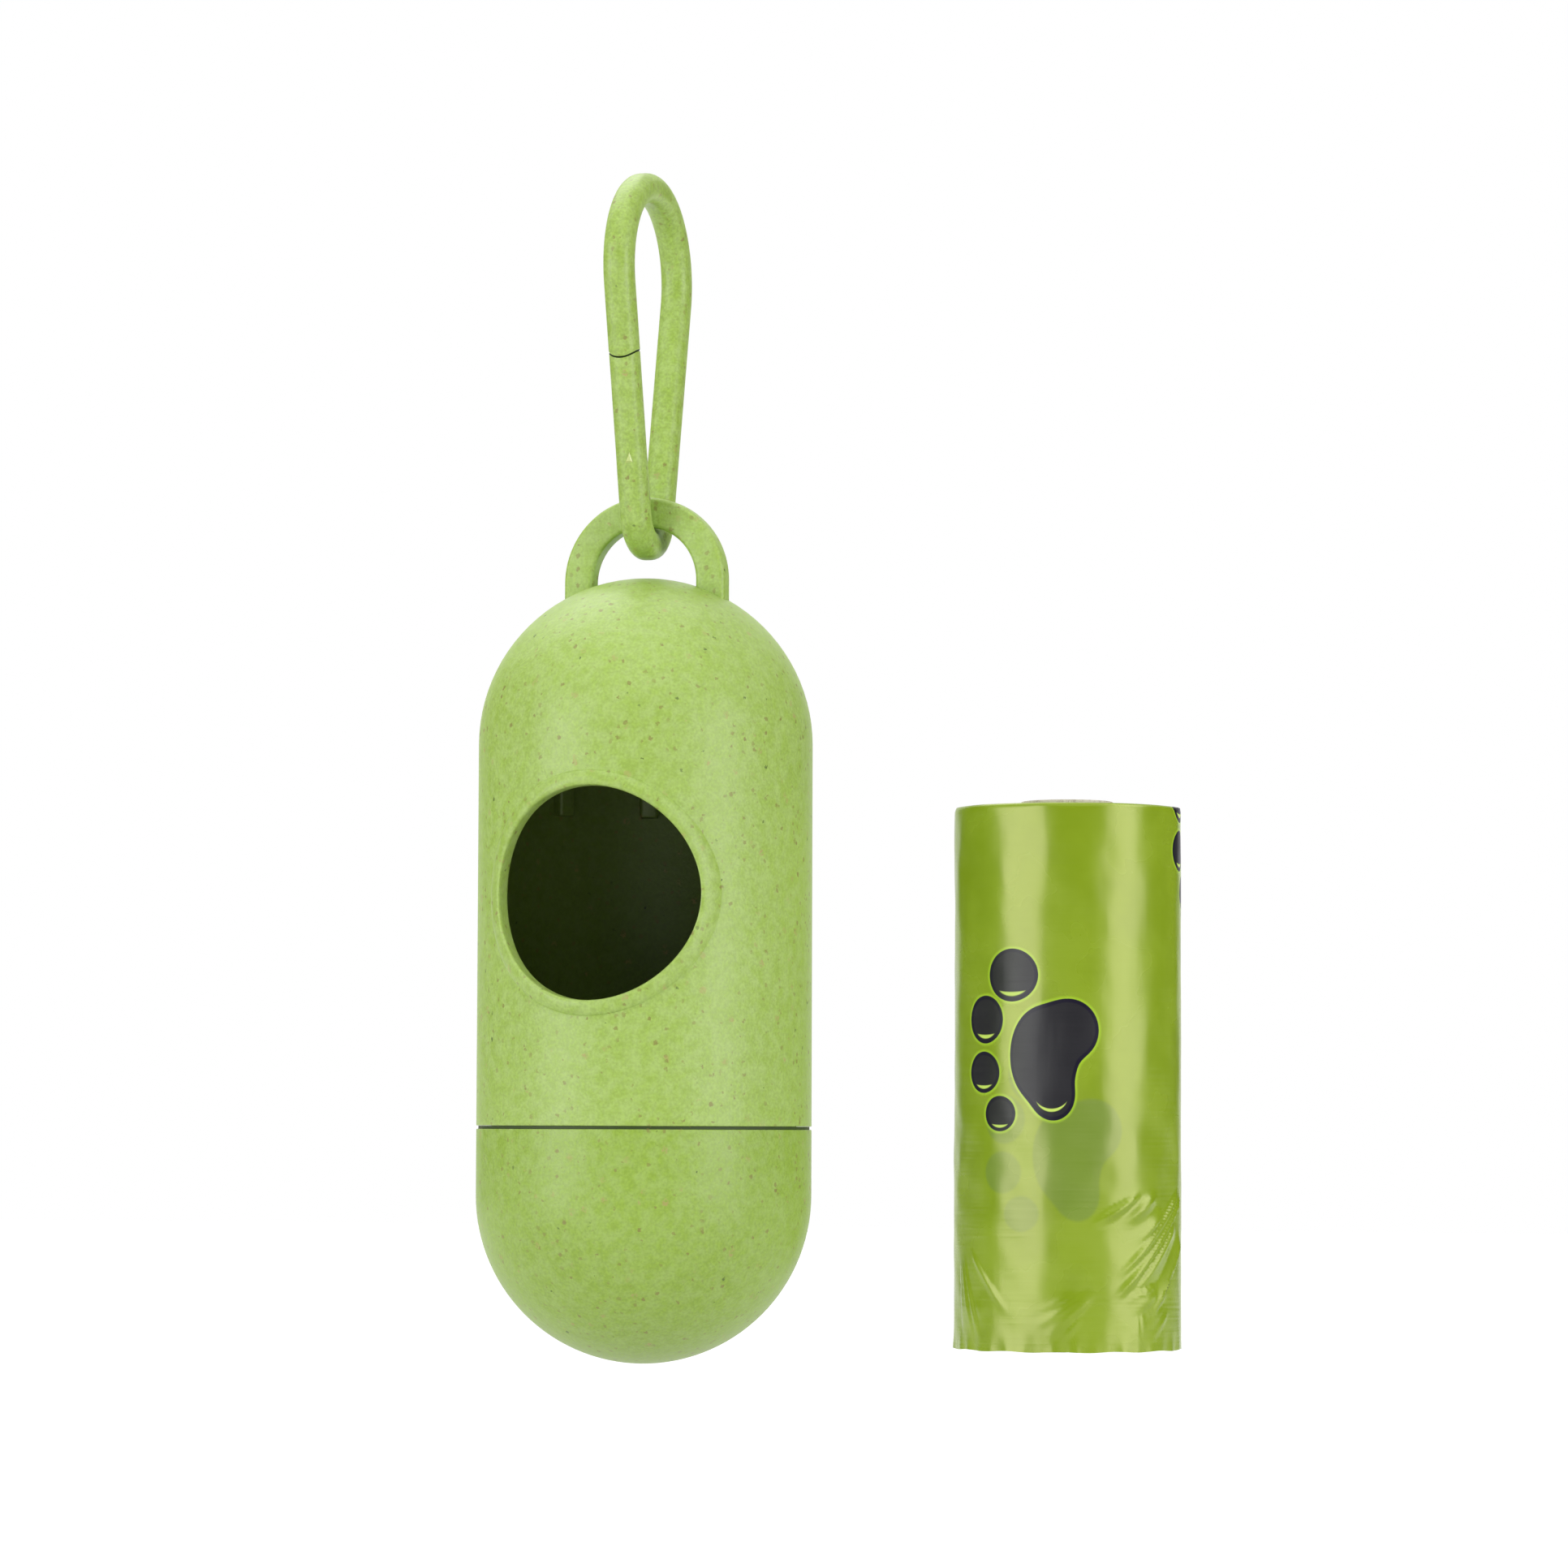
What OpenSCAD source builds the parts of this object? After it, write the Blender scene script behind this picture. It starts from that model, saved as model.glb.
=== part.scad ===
// Capsule dispenser for rolls of small bags, hung from a moulded snap clip,
// with one bag roll standing beside it.
//
// Millimetres, +Z up. The origin is the highest point inside the clip's large bend,
// where a lead or strap carries the whole thing. The round mouth faces -Y.
// Every height is worked out from the capsule's lower tip and then shifted to the origin.

/* [Capsule] */
// Outer diameter of the capsule
body_d = 40; // [37:0.5:46]
// Length of the closed capsule from tip to tip
body_len = 93.8; // [90:0.2:110]
// Height of the end cap from its tip to the seam
cap_h = 28.2; // [26:0.2:32]
// Wall of the shell and of the end cap
wall = 1.8; // [1.4:0.1:2.2]
// Chamfer on both edges of the seam
seam_chamfer = 0.3; // [0.1:0.05:0.5]

/* [Mouth] */
// Diameter of the round mouth that the bags are drawn through
mouth_d = 25; // [20:0.2:28]
// Height of the mouth's centre above the seam
mouth_rise = 27.1; // [22:0.1:29]
// Width of the raised rim round the mouth
rim_w = 1.8; // [1.4:0.05:2.4]
// Height of the raised rim above the shell
rim_rise = 0.6; // [0.4:0.05:1]
// Step that softens both edges of the rim
rim_step = 0.25; // [0.1:0.05:0.35]

/* [Inner ribs] */
// Number of short ribs inside the shell, spread over its back
rib_count = 4; // [2:1:5]
// Angle from one rib to the next, in degrees
rib_pitch = 36; // [30:1:50]
// Width of a rib
rib_w = 2.3; // [1.5:0.1:3]
// Height of a rib above the inner wall
rib_h = 1.5; // [0.8:0.1:2]
// Length of a rib below the dome
rib_drop = 7.8; // [4:0.1:12]

/* [Cap fit] */
// Height of the spigot that plugs the cap into the shell
spigot_h = 6; // [4:0.5:8]
// Wall of the spigot
spigot_wall = 1.4; // [1:0.1:1.8]
// Clearance all round between the spigot and the shell
spigot_fit = 0.1; // [0.05:0.01:0.2]
// Depth of the band inside the cap that the spigot stands on
spigot_seat = 2.7; // [2:0.1:3.5]
// Gap at the seam
seam_gap = 0.1; // [0.05:0.05:0.2]

/* [Ring] */
// Outer width of the loop on the dome
ring_w = 20.3; // [18:0.1:22]
// Height of the loop above the dome's tip
ring_rise = 9.8; // [9.4:0.2:12]
// Width of the loop's bar, seen from the front
ring_bar = 3.6; // [3:0.1:3.8]
// Thickness of the loop's bar, from front to back
ring_t = 2.6; // [2.2:0.1:2.7]
// Edge radius of the loop's bar
ring_round = 0.7; // [0.5:0.05:1]

/* [Clip] */
// Thickness of the clip's rod, both ways
rod_t = 3.6; // [3.3:0.05:3.7]
// Corner radius of the rod
rod_round = 1.5; // [0.8:0.05:1.6]
// How much lower the faces of the straight legs lie than those of the bends
leg_relief = 0.02; // [0.01:0.01:0.05]
// How far the straight legs run on into the bends
leg_root = 0.3; // [0.1:0.1:0.5]
// Radius of the large upper bend, at the middle of the rod
hook_bend_r = 10.45; // [9:0.05:12]
// Radius of the small lower bend, at the middle of the rod
eye_bend_r = 4.2; // [4.1:0.05:5]
// Distance between the centres of the two bends
bend_span = 28.5; // [27:0.1:36]
// Gap between the loop's bar and the lower bend that carries it
hang_gap = 0.3; // [0.2:0.05:0.4]

/* [Gate] */
// Distance along the leg from the lower bend to the gate's root
gate_root = 4.5; // [3.5:0.1:6]
// Length of the gate, from its root to the middle of its tip
gate_len = 14.5; // [12:0.1:16]
// Gap between the gate's tip and the nose
gate_gap = 0.2; // [0.2:0.05:0.4]
// Radius of the nose's rounded end
nose_r = 3; // [2.2:0.1:5]
// How far the gate's faces lie below those of the bends
gate_relief = 0.08; // [0.06:0.01:0.2]
// Thickness of the thin outer strip that the gate bends on
hinge_web = 0.5; // [0.4:0.05:0.8]
// Angle of the notch behind that strip, in degrees
notch_angle = 30; // [28:1:38]

/* [Bag roll] */
// Outer diameter of the roll
roll_d = 28.2; // [25:0.2:31]
// Length of the roll
roll_len = 67.1; // [60:0.1:72]
// Outer diameter of the cardboard core
core_d = 11.5; // [9:0.1:14]
// Wall of the core
core_wall = 1; // [0.7:0.1:1.5]
// How far the core stands out of the roll's upper end
core_proud = 1; // [0.4:0.1:2]
// Thickness of the outermost bag's turns together
outer_bag_t = 0.3; // [0.2:0.05:0.5]
// Thickness of its free end, which laps over them
flap_t = 0.15; // [0.1:0.05:0.3]
// Angle that the free end covers, in degrees
flap_angle = 70; // [30:5:120]
// Slack between the turns of the roll's pieces
roll_slack = 0.05; // [0.02:0.01:0.1]
// Number of steps that the wound turns make at the roll's ends
turn_steps = 9; // [5:1:14]
// Deepest of those steps
turn_depth = 0.5; // [0.2:0.1:0.9]
// Distance from the capsule's side to the roll's side, across the front
roll_gap = 7.2; // [4:0.1:20]
// Distance that the roll stands behind the capsule's axis
roll_back = 40.7; // [20:0.1:60]
// Height of the roll's lower end above the capsule's lower tip
roll_rise = 0.9; // [0:0.1:10]

/* [Hidden] */
$fn = 96;

STRAW_GREEN = [0.69, 0.79, 0.46];
CAP_GREEN = [0.61, 0.73, 0.37];
CARD_BROWN = [0.66, 0.58, 0.46];
FILM_GREEN = [0.55, 0.66, 0.20];
FILM_PALE = [0.66, 0.76, 0.34];

// Capsule, from the lower tip
body_r = body_d / 2;
bore_r = body_r - wall;
dome_z = body_len - body_r;
seam_z = cap_h;
shell_z = seam_z + seam_gap;
mouth_r = mouth_d / 2;
mouth_z = seam_z + mouth_rise;
rib_z = dome_z - rib_drop;

// Spigot of the cap
spigot_r = bore_r - spigot_fit;
spigot_bore_r = spigot_r - spigot_wall;
seat_z = seam_z - spigot_seat;
funnel_h = bore_r - spigot_bore_r;

// Loop on the dome
ring_top_z = body_len + ring_rise;
ring_arch_z = ring_top_z - ring_w / 2;
ring_mid_r = (ring_w - ring_bar) / 2;
ring_foot_z = dome_z + sqrt(pow(body_r - wall / 2, 2) - pow(ring_w / 2, 2));

// Clip: two bends joined by straight legs that touch both of them
eye_bend_z = ring_top_z - ring_bar - hang_gap + eye_bend_r - rod_t / 2;
hook_bend_z = eye_bend_z + bend_span;
leg_lean = asin((hook_bend_r - eye_bend_r) / bend_span);
leg_len = bend_span * cos(leg_lean);
hook_z = hook_bend_z + hook_bend_r - rod_t / 2;

// Gate, measured up the front leg from the lower bend
gate_tip = gate_root + gate_len;
hinge_y = hinge_web - rod_t / 2;
notch_rise = (rod_t / 2 - hinge_y) * tan(notch_angle);

// Bag roll
roll_r = roll_d / 2;
roll_x = body_r + roll_gap + roll_r;
outer_bag_r = roll_r - flap_t;
wound_r = outer_bag_r - outer_bag_t - roll_slack;
core_r = core_d / 2;
wound_bore_r = core_r + roll_slack;
turn_w = (wound_r - wound_bore_r) / turn_steps;

// More than any size here, for cuts that run right through
THROUGH = 2 * body_len;

// Shifts heights above the capsule's lower tip to heights above the origin
module from_tip() {
    translate([0, 0, -hook_z])
        children();
}

// Rectangle with round corners, centred
module round_rect(w, h, r) {
    square([w, h - 2 * r], center = true);
    square([w - 2 * r, h], center = true);
    for (x = [-1, 1], y = [-1, 1])
        translate([x * (w / 2 - r), y * (h / 2 - r)])
            circle(r);
}

// Half outline of a capsule of radius r that ends the same distance inside both tips
module capsule_half(r) {
    intersection() {
        union() {
            translate([0, body_r])
                circle(r);
            translate([0, dome_z])
                circle(r);
            translate([0, body_r])
                square([r, dome_z - body_r]);
        }
        square([r, body_len]);
    }
}

// Chamfer cut on the outer corner at height z, below it (side = -1) or above it (side = 1)
module seam_bevel(z, side) {
    translate([body_r, z])
        polygon([[-seam_chamfer, 0], [1, -side], [1, side * 2], [0, side * seam_chamfer]]);
}

// ---- Shell: tube, dome, mouth and loop in one moulding ----

module shell_outline() {
    difference() {
        intersection() {
            capsule_half(body_r);
            translate([0, shell_z])
                square([body_r, body_len - shell_z]);
        }
        seam_bevel(shell_z, 1);
    }
}

// Round bar from front to back at the mouth's centre, from the axis out through the front
module mouth_bar(r) {
    translate([0, 0, mouth_z])
        rotate([90, 0, 0])
            cylinder(r = r, h = THROUGH / 4);
}

// The rim keeps one height above the round wall, so it is a slice of two larger tubes
module mouth_rim() {
    intersection() {
        mouth_bar(mouth_r + rim_w);
        cylinder(r = body_r + rim_rise - rim_step, h = body_len);
    }
    intersection() {
        mouth_bar(mouth_r + rim_w - rim_step);
        cylinder(r = body_r + rim_rise, h = body_len);
    }
}

// The mouth, and the step that softens the rim's inner edge
module mouth_cut() {
    mouth_bar(mouth_r);
    difference() {
        mouth_bar(mouth_r + rim_step);
        cylinder(r = body_r + rim_rise - rim_step, h = body_len);
    }
}

// Hollow of the shell, with the ribs left standing at its back
module shell_hollow() {
    difference() {
        rotate_extrude()
            capsule_half(bore_r);
        for (i = [0 : rib_count - 1])
            rotate([0, 0, 90 + (i - (rib_count - 1) / 2) * rib_pitch])
                translate([bore_r - rib_h, -rib_w / 2, rib_z])
                    cube([body_r, rib_w, body_len]);
    }
}

module ring_loop() {
    translate([0, 0, ring_arch_z])
        rotate([90, 0, 0])
            rotate_extrude(angle = 180)
                translate([ring_mid_r, 0])
                    round_rect(ring_bar, ring_t, ring_round);
    for (side = [-1, 1])
        translate([side * ring_mid_r, 0, ring_arch_z])
            rotate([180, 0, 0])
                linear_extrude(ring_arch_z - ring_foot_z)
                    round_rect(ring_bar, ring_t, ring_round);
}

module shell() {
    color(STRAW_GREEN)
        from_tip()
            difference() {
                union() {
                    rotate_extrude()
                        shell_outline();
                    mouth_rim();
                    ring_loop();
                }
                shell_hollow();
                mouth_cut();
            }
}

// ---- End cap: bowl with a spigot that plugs into the shell ----

module cap_outline() {
    difference() {
        intersection() {
            capsule_half(body_r);
            square([body_r, seam_z]);
        }
        seam_bevel(seam_z, -1);
    }
    translate([0, seat_z])
        square([spigot_r, seam_z - seat_z + spigot_h]);
}

// Bowl, the funnel that narrows it, and the spigot's bore
module cap_hollow_outline() {
    intersection() {
        capsule_half(bore_r);
        square([bore_r, seat_z - funnel_h]);
    }
    translate([0, seat_z - funnel_h])
        polygon([[0, 0], [bore_r, 0], [spigot_bore_r, funnel_h], [0, funnel_h]]);
    translate([0, seat_z])
        square([spigot_bore_r, THROUGH / 4]);
}

module end_cap() {
    color(CAP_GREEN)
        from_tip()
            rotate_extrude()
                difference() {
                    cap_outline();
                    cap_hollow_outline();
                }
}

// ---- Clip: bent rod with a nose, and the gate that closes it ----

module rod_section(relief = 0) {
    round_rect(rod_t - 2 * relief, rod_t - 2 * relief, rod_round - relief);
}

// Bend in the YZ plane about the X axis, from angle a for sweep degrees
module rod_bend(r, a, sweep) {
    rotate([90, 0, 90])
        rotate([0, 0, a])
            rotate_extrude(angle = sweep)
                translate([r, 0])
                    rod_section();
}

// Moves up a leg: Z runs along the leg from the lower bend, Y across it.
// side = -1 is the front leg and side = 1 the rear one.
module on_leg(side) {
    translate([0, side * eye_bend_r * cos(leg_lean), eye_bend_z - eye_bend_r * sin(leg_lean)])
        rotate([-side * leg_lean, 0, 0])
            children();
}

// Everything above the curved joint between the gate and the nose, gap below it
module above_joint(gap = 0) {
    translate([0, 0, gate_tip + nose_r]) {
        rotate([90, 0, 0])
            cylinder(r = nose_r + gap, h = 3 * rod_t, center = true);
        translate([-rod_t, -rod_t, 0])
            cube([2 * rod_t, 2 * rod_t, leg_len]);
    }
}

// Straight rod on a leg, rooted in the bends at both ends
module leg_rod() {
    translate([0, 0, -leg_root])
        linear_extrude(leg_len + 2 * leg_root)
            rod_section(leg_relief);
}

module clip_frame() {
    color(STRAW_GREEN)
        from_tip() {
            translate([0, 0, hook_bend_z])
                rod_bend(hook_bend_r, -leg_lean, 180 + 2 * leg_lean);
            translate([0, 0, eye_bend_z])
                rod_bend(eye_bend_r, 180 + leg_lean, 180 - 2 * leg_lean);
            on_leg(1)
                leg_rod();
            on_leg(-1) {
                intersection() {
                    leg_rod();
                    translate([-rod_t, -rod_t, -rod_t])
                        cube([2 * rod_t, 2 * rod_t, rod_t + gate_root]);
                }
                intersection() {
                    leg_rod();
                    above_joint();
                }
            }
        }
}

// Side outline of the gate: flat over the thin strip at its outer face, and
// sloping up behind it, so that the gate can fold inwards
module gate_side() {
    polygon([
        [-rod_t, gate_root],
        [hinge_y, gate_root],
        [rod_t / 2, gate_root + notch_rise],
        [rod_t, gate_root + notch_rise],
        [rod_t, leg_len],
        [-rod_t, leg_len]
    ]);
}

module clip_gate() {
    color(STRAW_GREEN)
        from_tip()
            on_leg(-1)
                difference() {
                    intersection() {
                        linear_extrude(leg_len)
                            rod_section(gate_relief);
                        rotate([90, 0, 90])
                            linear_extrude(2 * rod_t, center = true)
                                gate_side();
                    }
                    above_joint(gate_gap);
                }
}

// ---- Bag roll: core, wound bags and the outermost bag ----

// Moves to the roll's axis, at its lower end
module on_roll() {
    translate([roll_x, roll_back, roll_rise])
        children();
}

module roll_core() {
    color(CARD_BROWN)
        from_tip()
            on_roll()
                difference() {
                    cylinder(r = core_r, h = roll_len + core_proud);
                    translate([0, 0, -1])
                        cylinder(r = core_r - core_wall, h = roll_len + core_proud + 2);
                }
}

// How far the turns of step i end short of the roll's end
function turn_inset(i) = turn_depth * (0.5 - 0.5 * cos(i * 137.5));

// Half outline of the wound turns: along the stepped lower end and back along the upper one
module wound_outline() {
    last = turn_steps - 1;
    lower_end = [
        for (i = [0 : last], edge = [i, i + 1])
            [wound_bore_r + edge * turn_w, turn_inset(i)]
    ];
    upper_end = [
        for (i = [last : -1 : 0], edge = [i + 1, i])
            [wound_bore_r + edge * turn_w, roll_len - turn_inset(i)]
    ];
    polygon(concat(lower_end, upper_end));
}

module wound_bags() {
    color(FILM_GREEN)
        from_tip()
            on_roll()
                rotate_extrude()
                    wound_outline();
}

module outer_bag() {
    color(FILM_PALE)
        from_tip()
            on_roll() {
                rotate_extrude()
                    translate([outer_bag_r - outer_bag_t, 0])
                        square([outer_bag_t, roll_len]);
                rotate_extrude(angle = flap_angle)
                    translate([outer_bag_r - outer_bag_t, 0])
                        square([outer_bag_t + flap_t, roll_len]);
            }
}

clip_frame();
clip_gate();
shell();
end_cap();
roll_core();
wound_bags();
outer_bag();
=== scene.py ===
# %% [markdown]
# # A capsule dispenser for small bags, its snap clip and a bag roll
#
# The solids of this object are already made. Here they get their looks. Everything
# is in metres and in the solids' own frame: the origin is the highest point inside the clip's
# large bend, Z is up and the round mouth faces -Y. Lengths below are written in millimetres,
# because a maker measures so small a thing in millimetres, and `MM` turns them into metres.
# Heights are written from the capsule's lower tip, as on a drawing.

import math

import bmesh
import bpy
import numpy as np
from mathutils import Matrix, Vector


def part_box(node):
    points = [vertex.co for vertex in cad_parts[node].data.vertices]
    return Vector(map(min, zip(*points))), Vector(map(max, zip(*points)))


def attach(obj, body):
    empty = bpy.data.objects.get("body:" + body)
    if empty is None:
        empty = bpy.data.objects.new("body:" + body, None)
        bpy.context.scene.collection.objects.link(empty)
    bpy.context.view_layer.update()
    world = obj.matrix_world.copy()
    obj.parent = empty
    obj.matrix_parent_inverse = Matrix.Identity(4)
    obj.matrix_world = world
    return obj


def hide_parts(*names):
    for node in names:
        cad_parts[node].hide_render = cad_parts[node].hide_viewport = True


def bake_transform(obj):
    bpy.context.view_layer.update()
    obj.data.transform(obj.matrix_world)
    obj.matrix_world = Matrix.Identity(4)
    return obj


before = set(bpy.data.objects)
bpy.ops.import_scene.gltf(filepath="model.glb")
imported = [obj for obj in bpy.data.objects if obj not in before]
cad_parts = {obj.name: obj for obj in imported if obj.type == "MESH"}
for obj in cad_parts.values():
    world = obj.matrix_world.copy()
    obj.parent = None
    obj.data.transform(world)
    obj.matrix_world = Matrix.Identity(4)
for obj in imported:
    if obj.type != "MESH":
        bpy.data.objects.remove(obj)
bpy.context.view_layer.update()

MM = 0.001
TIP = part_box("end_cap")[0].z / MM
BODY_R, WALL = 20.0, 1.8
SEAM, DOME = 28.2, 73.8


def add_object(name, data):
    """New object of the scene that holds this data."""
    new = bpy.data.objects.new(name, data)
    bpy.context.scene.collection.objects.link(new)
    return new


# %% [markdown]
# ## The camera
# The seam between shell and cap is a straight line in the photograph, so the eye was level with
# it, and the mouth looks like a circle turned by nearly 20 degrees. A long lens from 650 mm gives the
# faint taper of the uprights. The camera's three axes are worked out from those facts and put
# into a matrix, which says more than three Euler angles would.

# %% Camera
IMAGE_PX = 1932
SENSOR, LENS = 36.0, 124.75
EYE = Vector((216.62, -613.07, TIP + SEAM)) * MM
EYE_AWAY, AIM_ABOVE_EYE = 650.0, 41.0
HEADING = math.radians(18.0)
PITCH = math.atan2(AIM_ABOVE_EYE, EYE_AWAY)
LEAN = math.radians(0.2)


def look_axes(heading, pitch, lean):
    """Right, up and forward of a camera that looks along +Y before it is turned."""
    forward = Vector((-math.sin(heading) * math.cos(pitch),
                      math.cos(heading) * math.cos(pitch), math.sin(pitch)))
    right = Vector((math.cos(heading), math.sin(heading), 0.0))
    up = right.cross(forward)
    leant_right = right * math.cos(lean) + up * math.sin(lean)
    leant_up = up * math.cos(lean) - right * math.sin(lean)
    return leant_right, leant_up, forward


RIGHT, UP, FORWARD = look_axes(HEADING, PITCH, LEAN)
camera_data = bpy.data.cameras.new("studio_camera")
camera_data.lens = LENS
camera_data.sensor_width = SENSOR
camera_data.clip_start = 0.01
camera = add_object("studio_camera", camera_data)
camera.matrix_world = Matrix((
    (RIGHT.x, UP.x, -FORWARD.x, EYE.x),
    (RIGHT.y, UP.y, -FORWARD.y, EYE.y),
    (RIGHT.z, UP.z, -FORWARD.z, EYE.z),
    (0.0, 0.0, 0.0, 1.0),
))
bpy.context.scene.camera = camera
print("one millimetre at the capsule is", round(LENS / SENSOR * IMAGE_PX / EYE_AWAY, 2), "pixels")

# %% [markdown]
# ## Helpers for node trees
# Materials, the world and Geometry Nodes are all trees of nodes joined by links. One helper adds
# a node, sets its options and fills its inputs, either with a plain value or with the output
# socket of another node. The others stand for the nodes that are used most. That keeps each tree
# short enough to read from top to bottom.

# %% Node helpers
def add_node(tree, kind, inputs=None, **options):
    """Adds a node; inputs maps a socket's name or number to a value or to an output socket."""
    node = tree.nodes.new(kind)
    for name, value in options.items():
        setattr(node, name, value)
    for key, value in (inputs or {}).items():
        if isinstance(value, bpy.types.NodeSocket):
            tree.links.new(value, node.inputs[key])
        else:
            node.inputs[key].default_value = value
    return node


def srgb(red, green, blue):
    """A screen colour of 0 to 255 as the linear colour that Blender works in."""
    linear = []
    for part in (red, green, blue):
        share = part / 255
        linear.append(share / 12.92 if share <= 0.04045 else ((share + 0.055) / 1.055) ** 2.4)
    return (*linear, 1.0)


def calc(tree, operation, *values, clamp=False):
    """Output of a Math node."""
    node = add_node(tree, "ShaderNodeMath", dict(enumerate(values)), operation=operation)
    node.use_clamp = clamp
    return node.outputs[0]


def blend_colour(tree, share, base, top, mode="MIX"):
    """Output of a colour mix: base where share is 0, top where it is 1."""
    node = add_node(tree, "ShaderNodeMix", {0: share, 6: base, 7: top}, data_type="RGBA",
                    blend_type=mode)
    return node.outputs[2]


def ramp(tree, value, low, high, to_low=0.0, to_high=1.0, smooth=True):
    """Value spread from low..high to to_low..to_high, clamped."""
    node = add_node(tree, "ShaderNodeMapRange", {0: value, 1: low, 2: high, 3: to_low, 4: to_high},
                    interpolation_type="SMOOTHSTEP" if smooth else "LINEAR")
    return node.outputs[0]


def noise(tree, vector, scale, detail, **more):
    """Noise node on a vector: a value is its first output and a colour its second."""
    return add_node(tree, "ShaderNodeTexNoise",
                    {"Vector": vector, "Scale": scale, "Detail": detail, **more})


def stretch(tree, vector, scale):
    """A vector scaled along each axis."""
    return add_node(tree, "ShaderNodeMapping", {"Vector": vector, "Scale": scale}).outputs[0]


def length(tree, vector):
    """A vector's length."""
    return add_node(tree, "ShaderNodeVectorMath", {0: vector}, operation="LENGTH").outputs["Value"]


def parts(tree, vector):
    """A vector's three numbers."""
    return add_node(tree, "ShaderNodeSeparateXYZ", {0: vector}).outputs


def new_material(name):
    """Material with an empty tree, and that tree."""
    material = bpy.data.materials.new(name)
    material.use_nodes = True
    material.node_tree.nodes.clear()
    return material, material.node_tree


def wear(tree, shader):
    """Makes a shader the material's surface."""
    add_node(tree, "ShaderNodeOutputMaterial", {"Surface": shader.outputs[0]})


# %% [markdown]
# ## White surroundings and soft light
# A product picture like this one is lit by large soft boxes in a white room, and the room itself
# comes out pure white. A bright room would also wash out the plastic. So the world is white only
# for the camera and for reflections, and dimmer as a source of light. The floor does the same:
# what the camera sees of it is lifted to white, and it still darkens under the object.

# %% World and floor
FILL = 0.34
FLOOR_DROP, FLOOR_REACH = 61.0, 4.0


def seen_or_mirrored(tree):
    """1 for rays from the camera, from a gloss or through a film, and 0 for the rest."""
    path = add_node(tree, "ShaderNodeLightPath")
    shown = calc(tree, "ADD", path.outputs["Is Camera Ray"], path.outputs["Is Glossy Ray"])
    return calc(tree, "ADD", shown, path.outputs["Is Transmission Ray"], clamp=True)


world = bpy.data.worlds.new("white_room")
world.use_nodes = True
bpy.context.scene.world = world
tree = world.node_tree
tree.nodes.clear()
room_fill = add_node(tree, "ShaderNodeBackground", {"Color": (1, 1, 1, 1), "Strength": FILL})
room_white = add_node(tree, "ShaderNodeBackground", {"Color": (1, 1, 1, 1), "Strength": 1.0})
room = add_node(tree, "ShaderNodeMixShader", {0: seen_or_mirrored(tree), 1: room_fill.outputs[0],
                                              2: room_white.outputs[0]})
add_node(tree, "ShaderNodeOutputWorld", {"Surface": room.outputs[0]})

floor_paint, tree = new_material("floor_white")
lit = add_node(tree, "ShaderNodeBsdfDiffuse", {"Color": (0.7, 0.7, 0.7, 1)})
dim = add_node(tree, "ShaderNodeBsdfDiffuse", {"Color": (0.4, 0.4, 0.4, 1)})
from_object = length(tree, add_node(tree, "ShaderNodeTexCoord").outputs["Object"])
glow = add_node(tree, "ShaderNodeEmission", {
    "Color": (1, 1, 1, 1), "Strength": ramp(tree, from_object, 0.3, 0.7, 0.62, 1.0)})
lifted = add_node(tree, "ShaderNodeAddShader", {0: dim.outputs[0], 1: glow.outputs[0]})
wear(tree, add_node(tree, "ShaderNodeMixShader", {0: seen_or_mirrored(tree), 1: lit.outputs[0],
                                                  2: lifted.outputs[0]}))


def flat_object(name, points, faces, material):
    """Object with plain flat faces from points in metres."""
    mesh = bpy.data.meshes.new(name)
    mesh.from_pydata(points, [], faces)
    mesh.materials.append(material)
    return add_object(name, mesh)


floor = flat_object("floor", [(x * FLOOR_REACH, y * FLOOR_REACH, (TIP - FLOOR_DROP) * MM)
                              for x, y in ((-1, -1), (1, -1), (1, 1), (-1, 1))],
                    [(0, 1, 2, 3)], floor_paint)

# %% [markdown]
# ## Soft boxes
# The capsule shows two pale upright bands and the film two brighter ones, so there was a tall
# soft box on each side of the camera. A third box above lights the dome, and for the film it
# stands high on the right, where it picks out the folds. One more from behind lights everything
# from above. Each is placed by its bearing from the line between object and camera. Its
# brightness is set as radiance, because that is what a gloss repeats, and the lamp's power then
# follows from its area.

# %% Soft boxes
AIM = Vector((12.0, 10.0, TIP + 62.0)) * MM
TOWARD_CAMERA = Vector((-FORWARD.x, -FORWARD.y, 0.0)).normalized()
SIDEWAYS = Vector((RIGHT.x, RIGHT.y, 0.0)).normalized()


def level_line(turn):
    """Level direction at a bearing from the camera's side, positive to the viewer's right."""
    return TOWARD_CAMERA * math.cos(turn) + SIDEWAYS * math.sin(turn)


def soft_box(name, bearing, height, distance, size, radiance):
    """Area lamp at a bearing and a height in degrees that faces the object."""
    lift = math.radians(height)
    direction = (level_line(math.radians(bearing)) * math.cos(lift)
                 + Vector((0, 0, 1)) * math.sin(lift))
    lamp = bpy.data.lights.new(name, "AREA")
    lamp.shape = "RECTANGLE"
    lamp.size, lamp.size_y = size
    lamp.energy = radiance * math.pi * size[0] * size[1]
    box = add_object(name, lamp)
    box.location = AIM + direction * distance
    box.rotation_euler = direction.to_track_quat("Z", "Y").to_euler()
    return box


def only_for(boxes, pieces, name):
    """Lamps that light these pieces alone, and that only these pieces can shade."""
    group = bpy.data.collections.new(name)
    for piece in pieces:
        group.objects.link(piece)
    for box in boxes:
        box.light_linking.receiver_collection = group
        box.light_linking.blocker_collection = group


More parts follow.
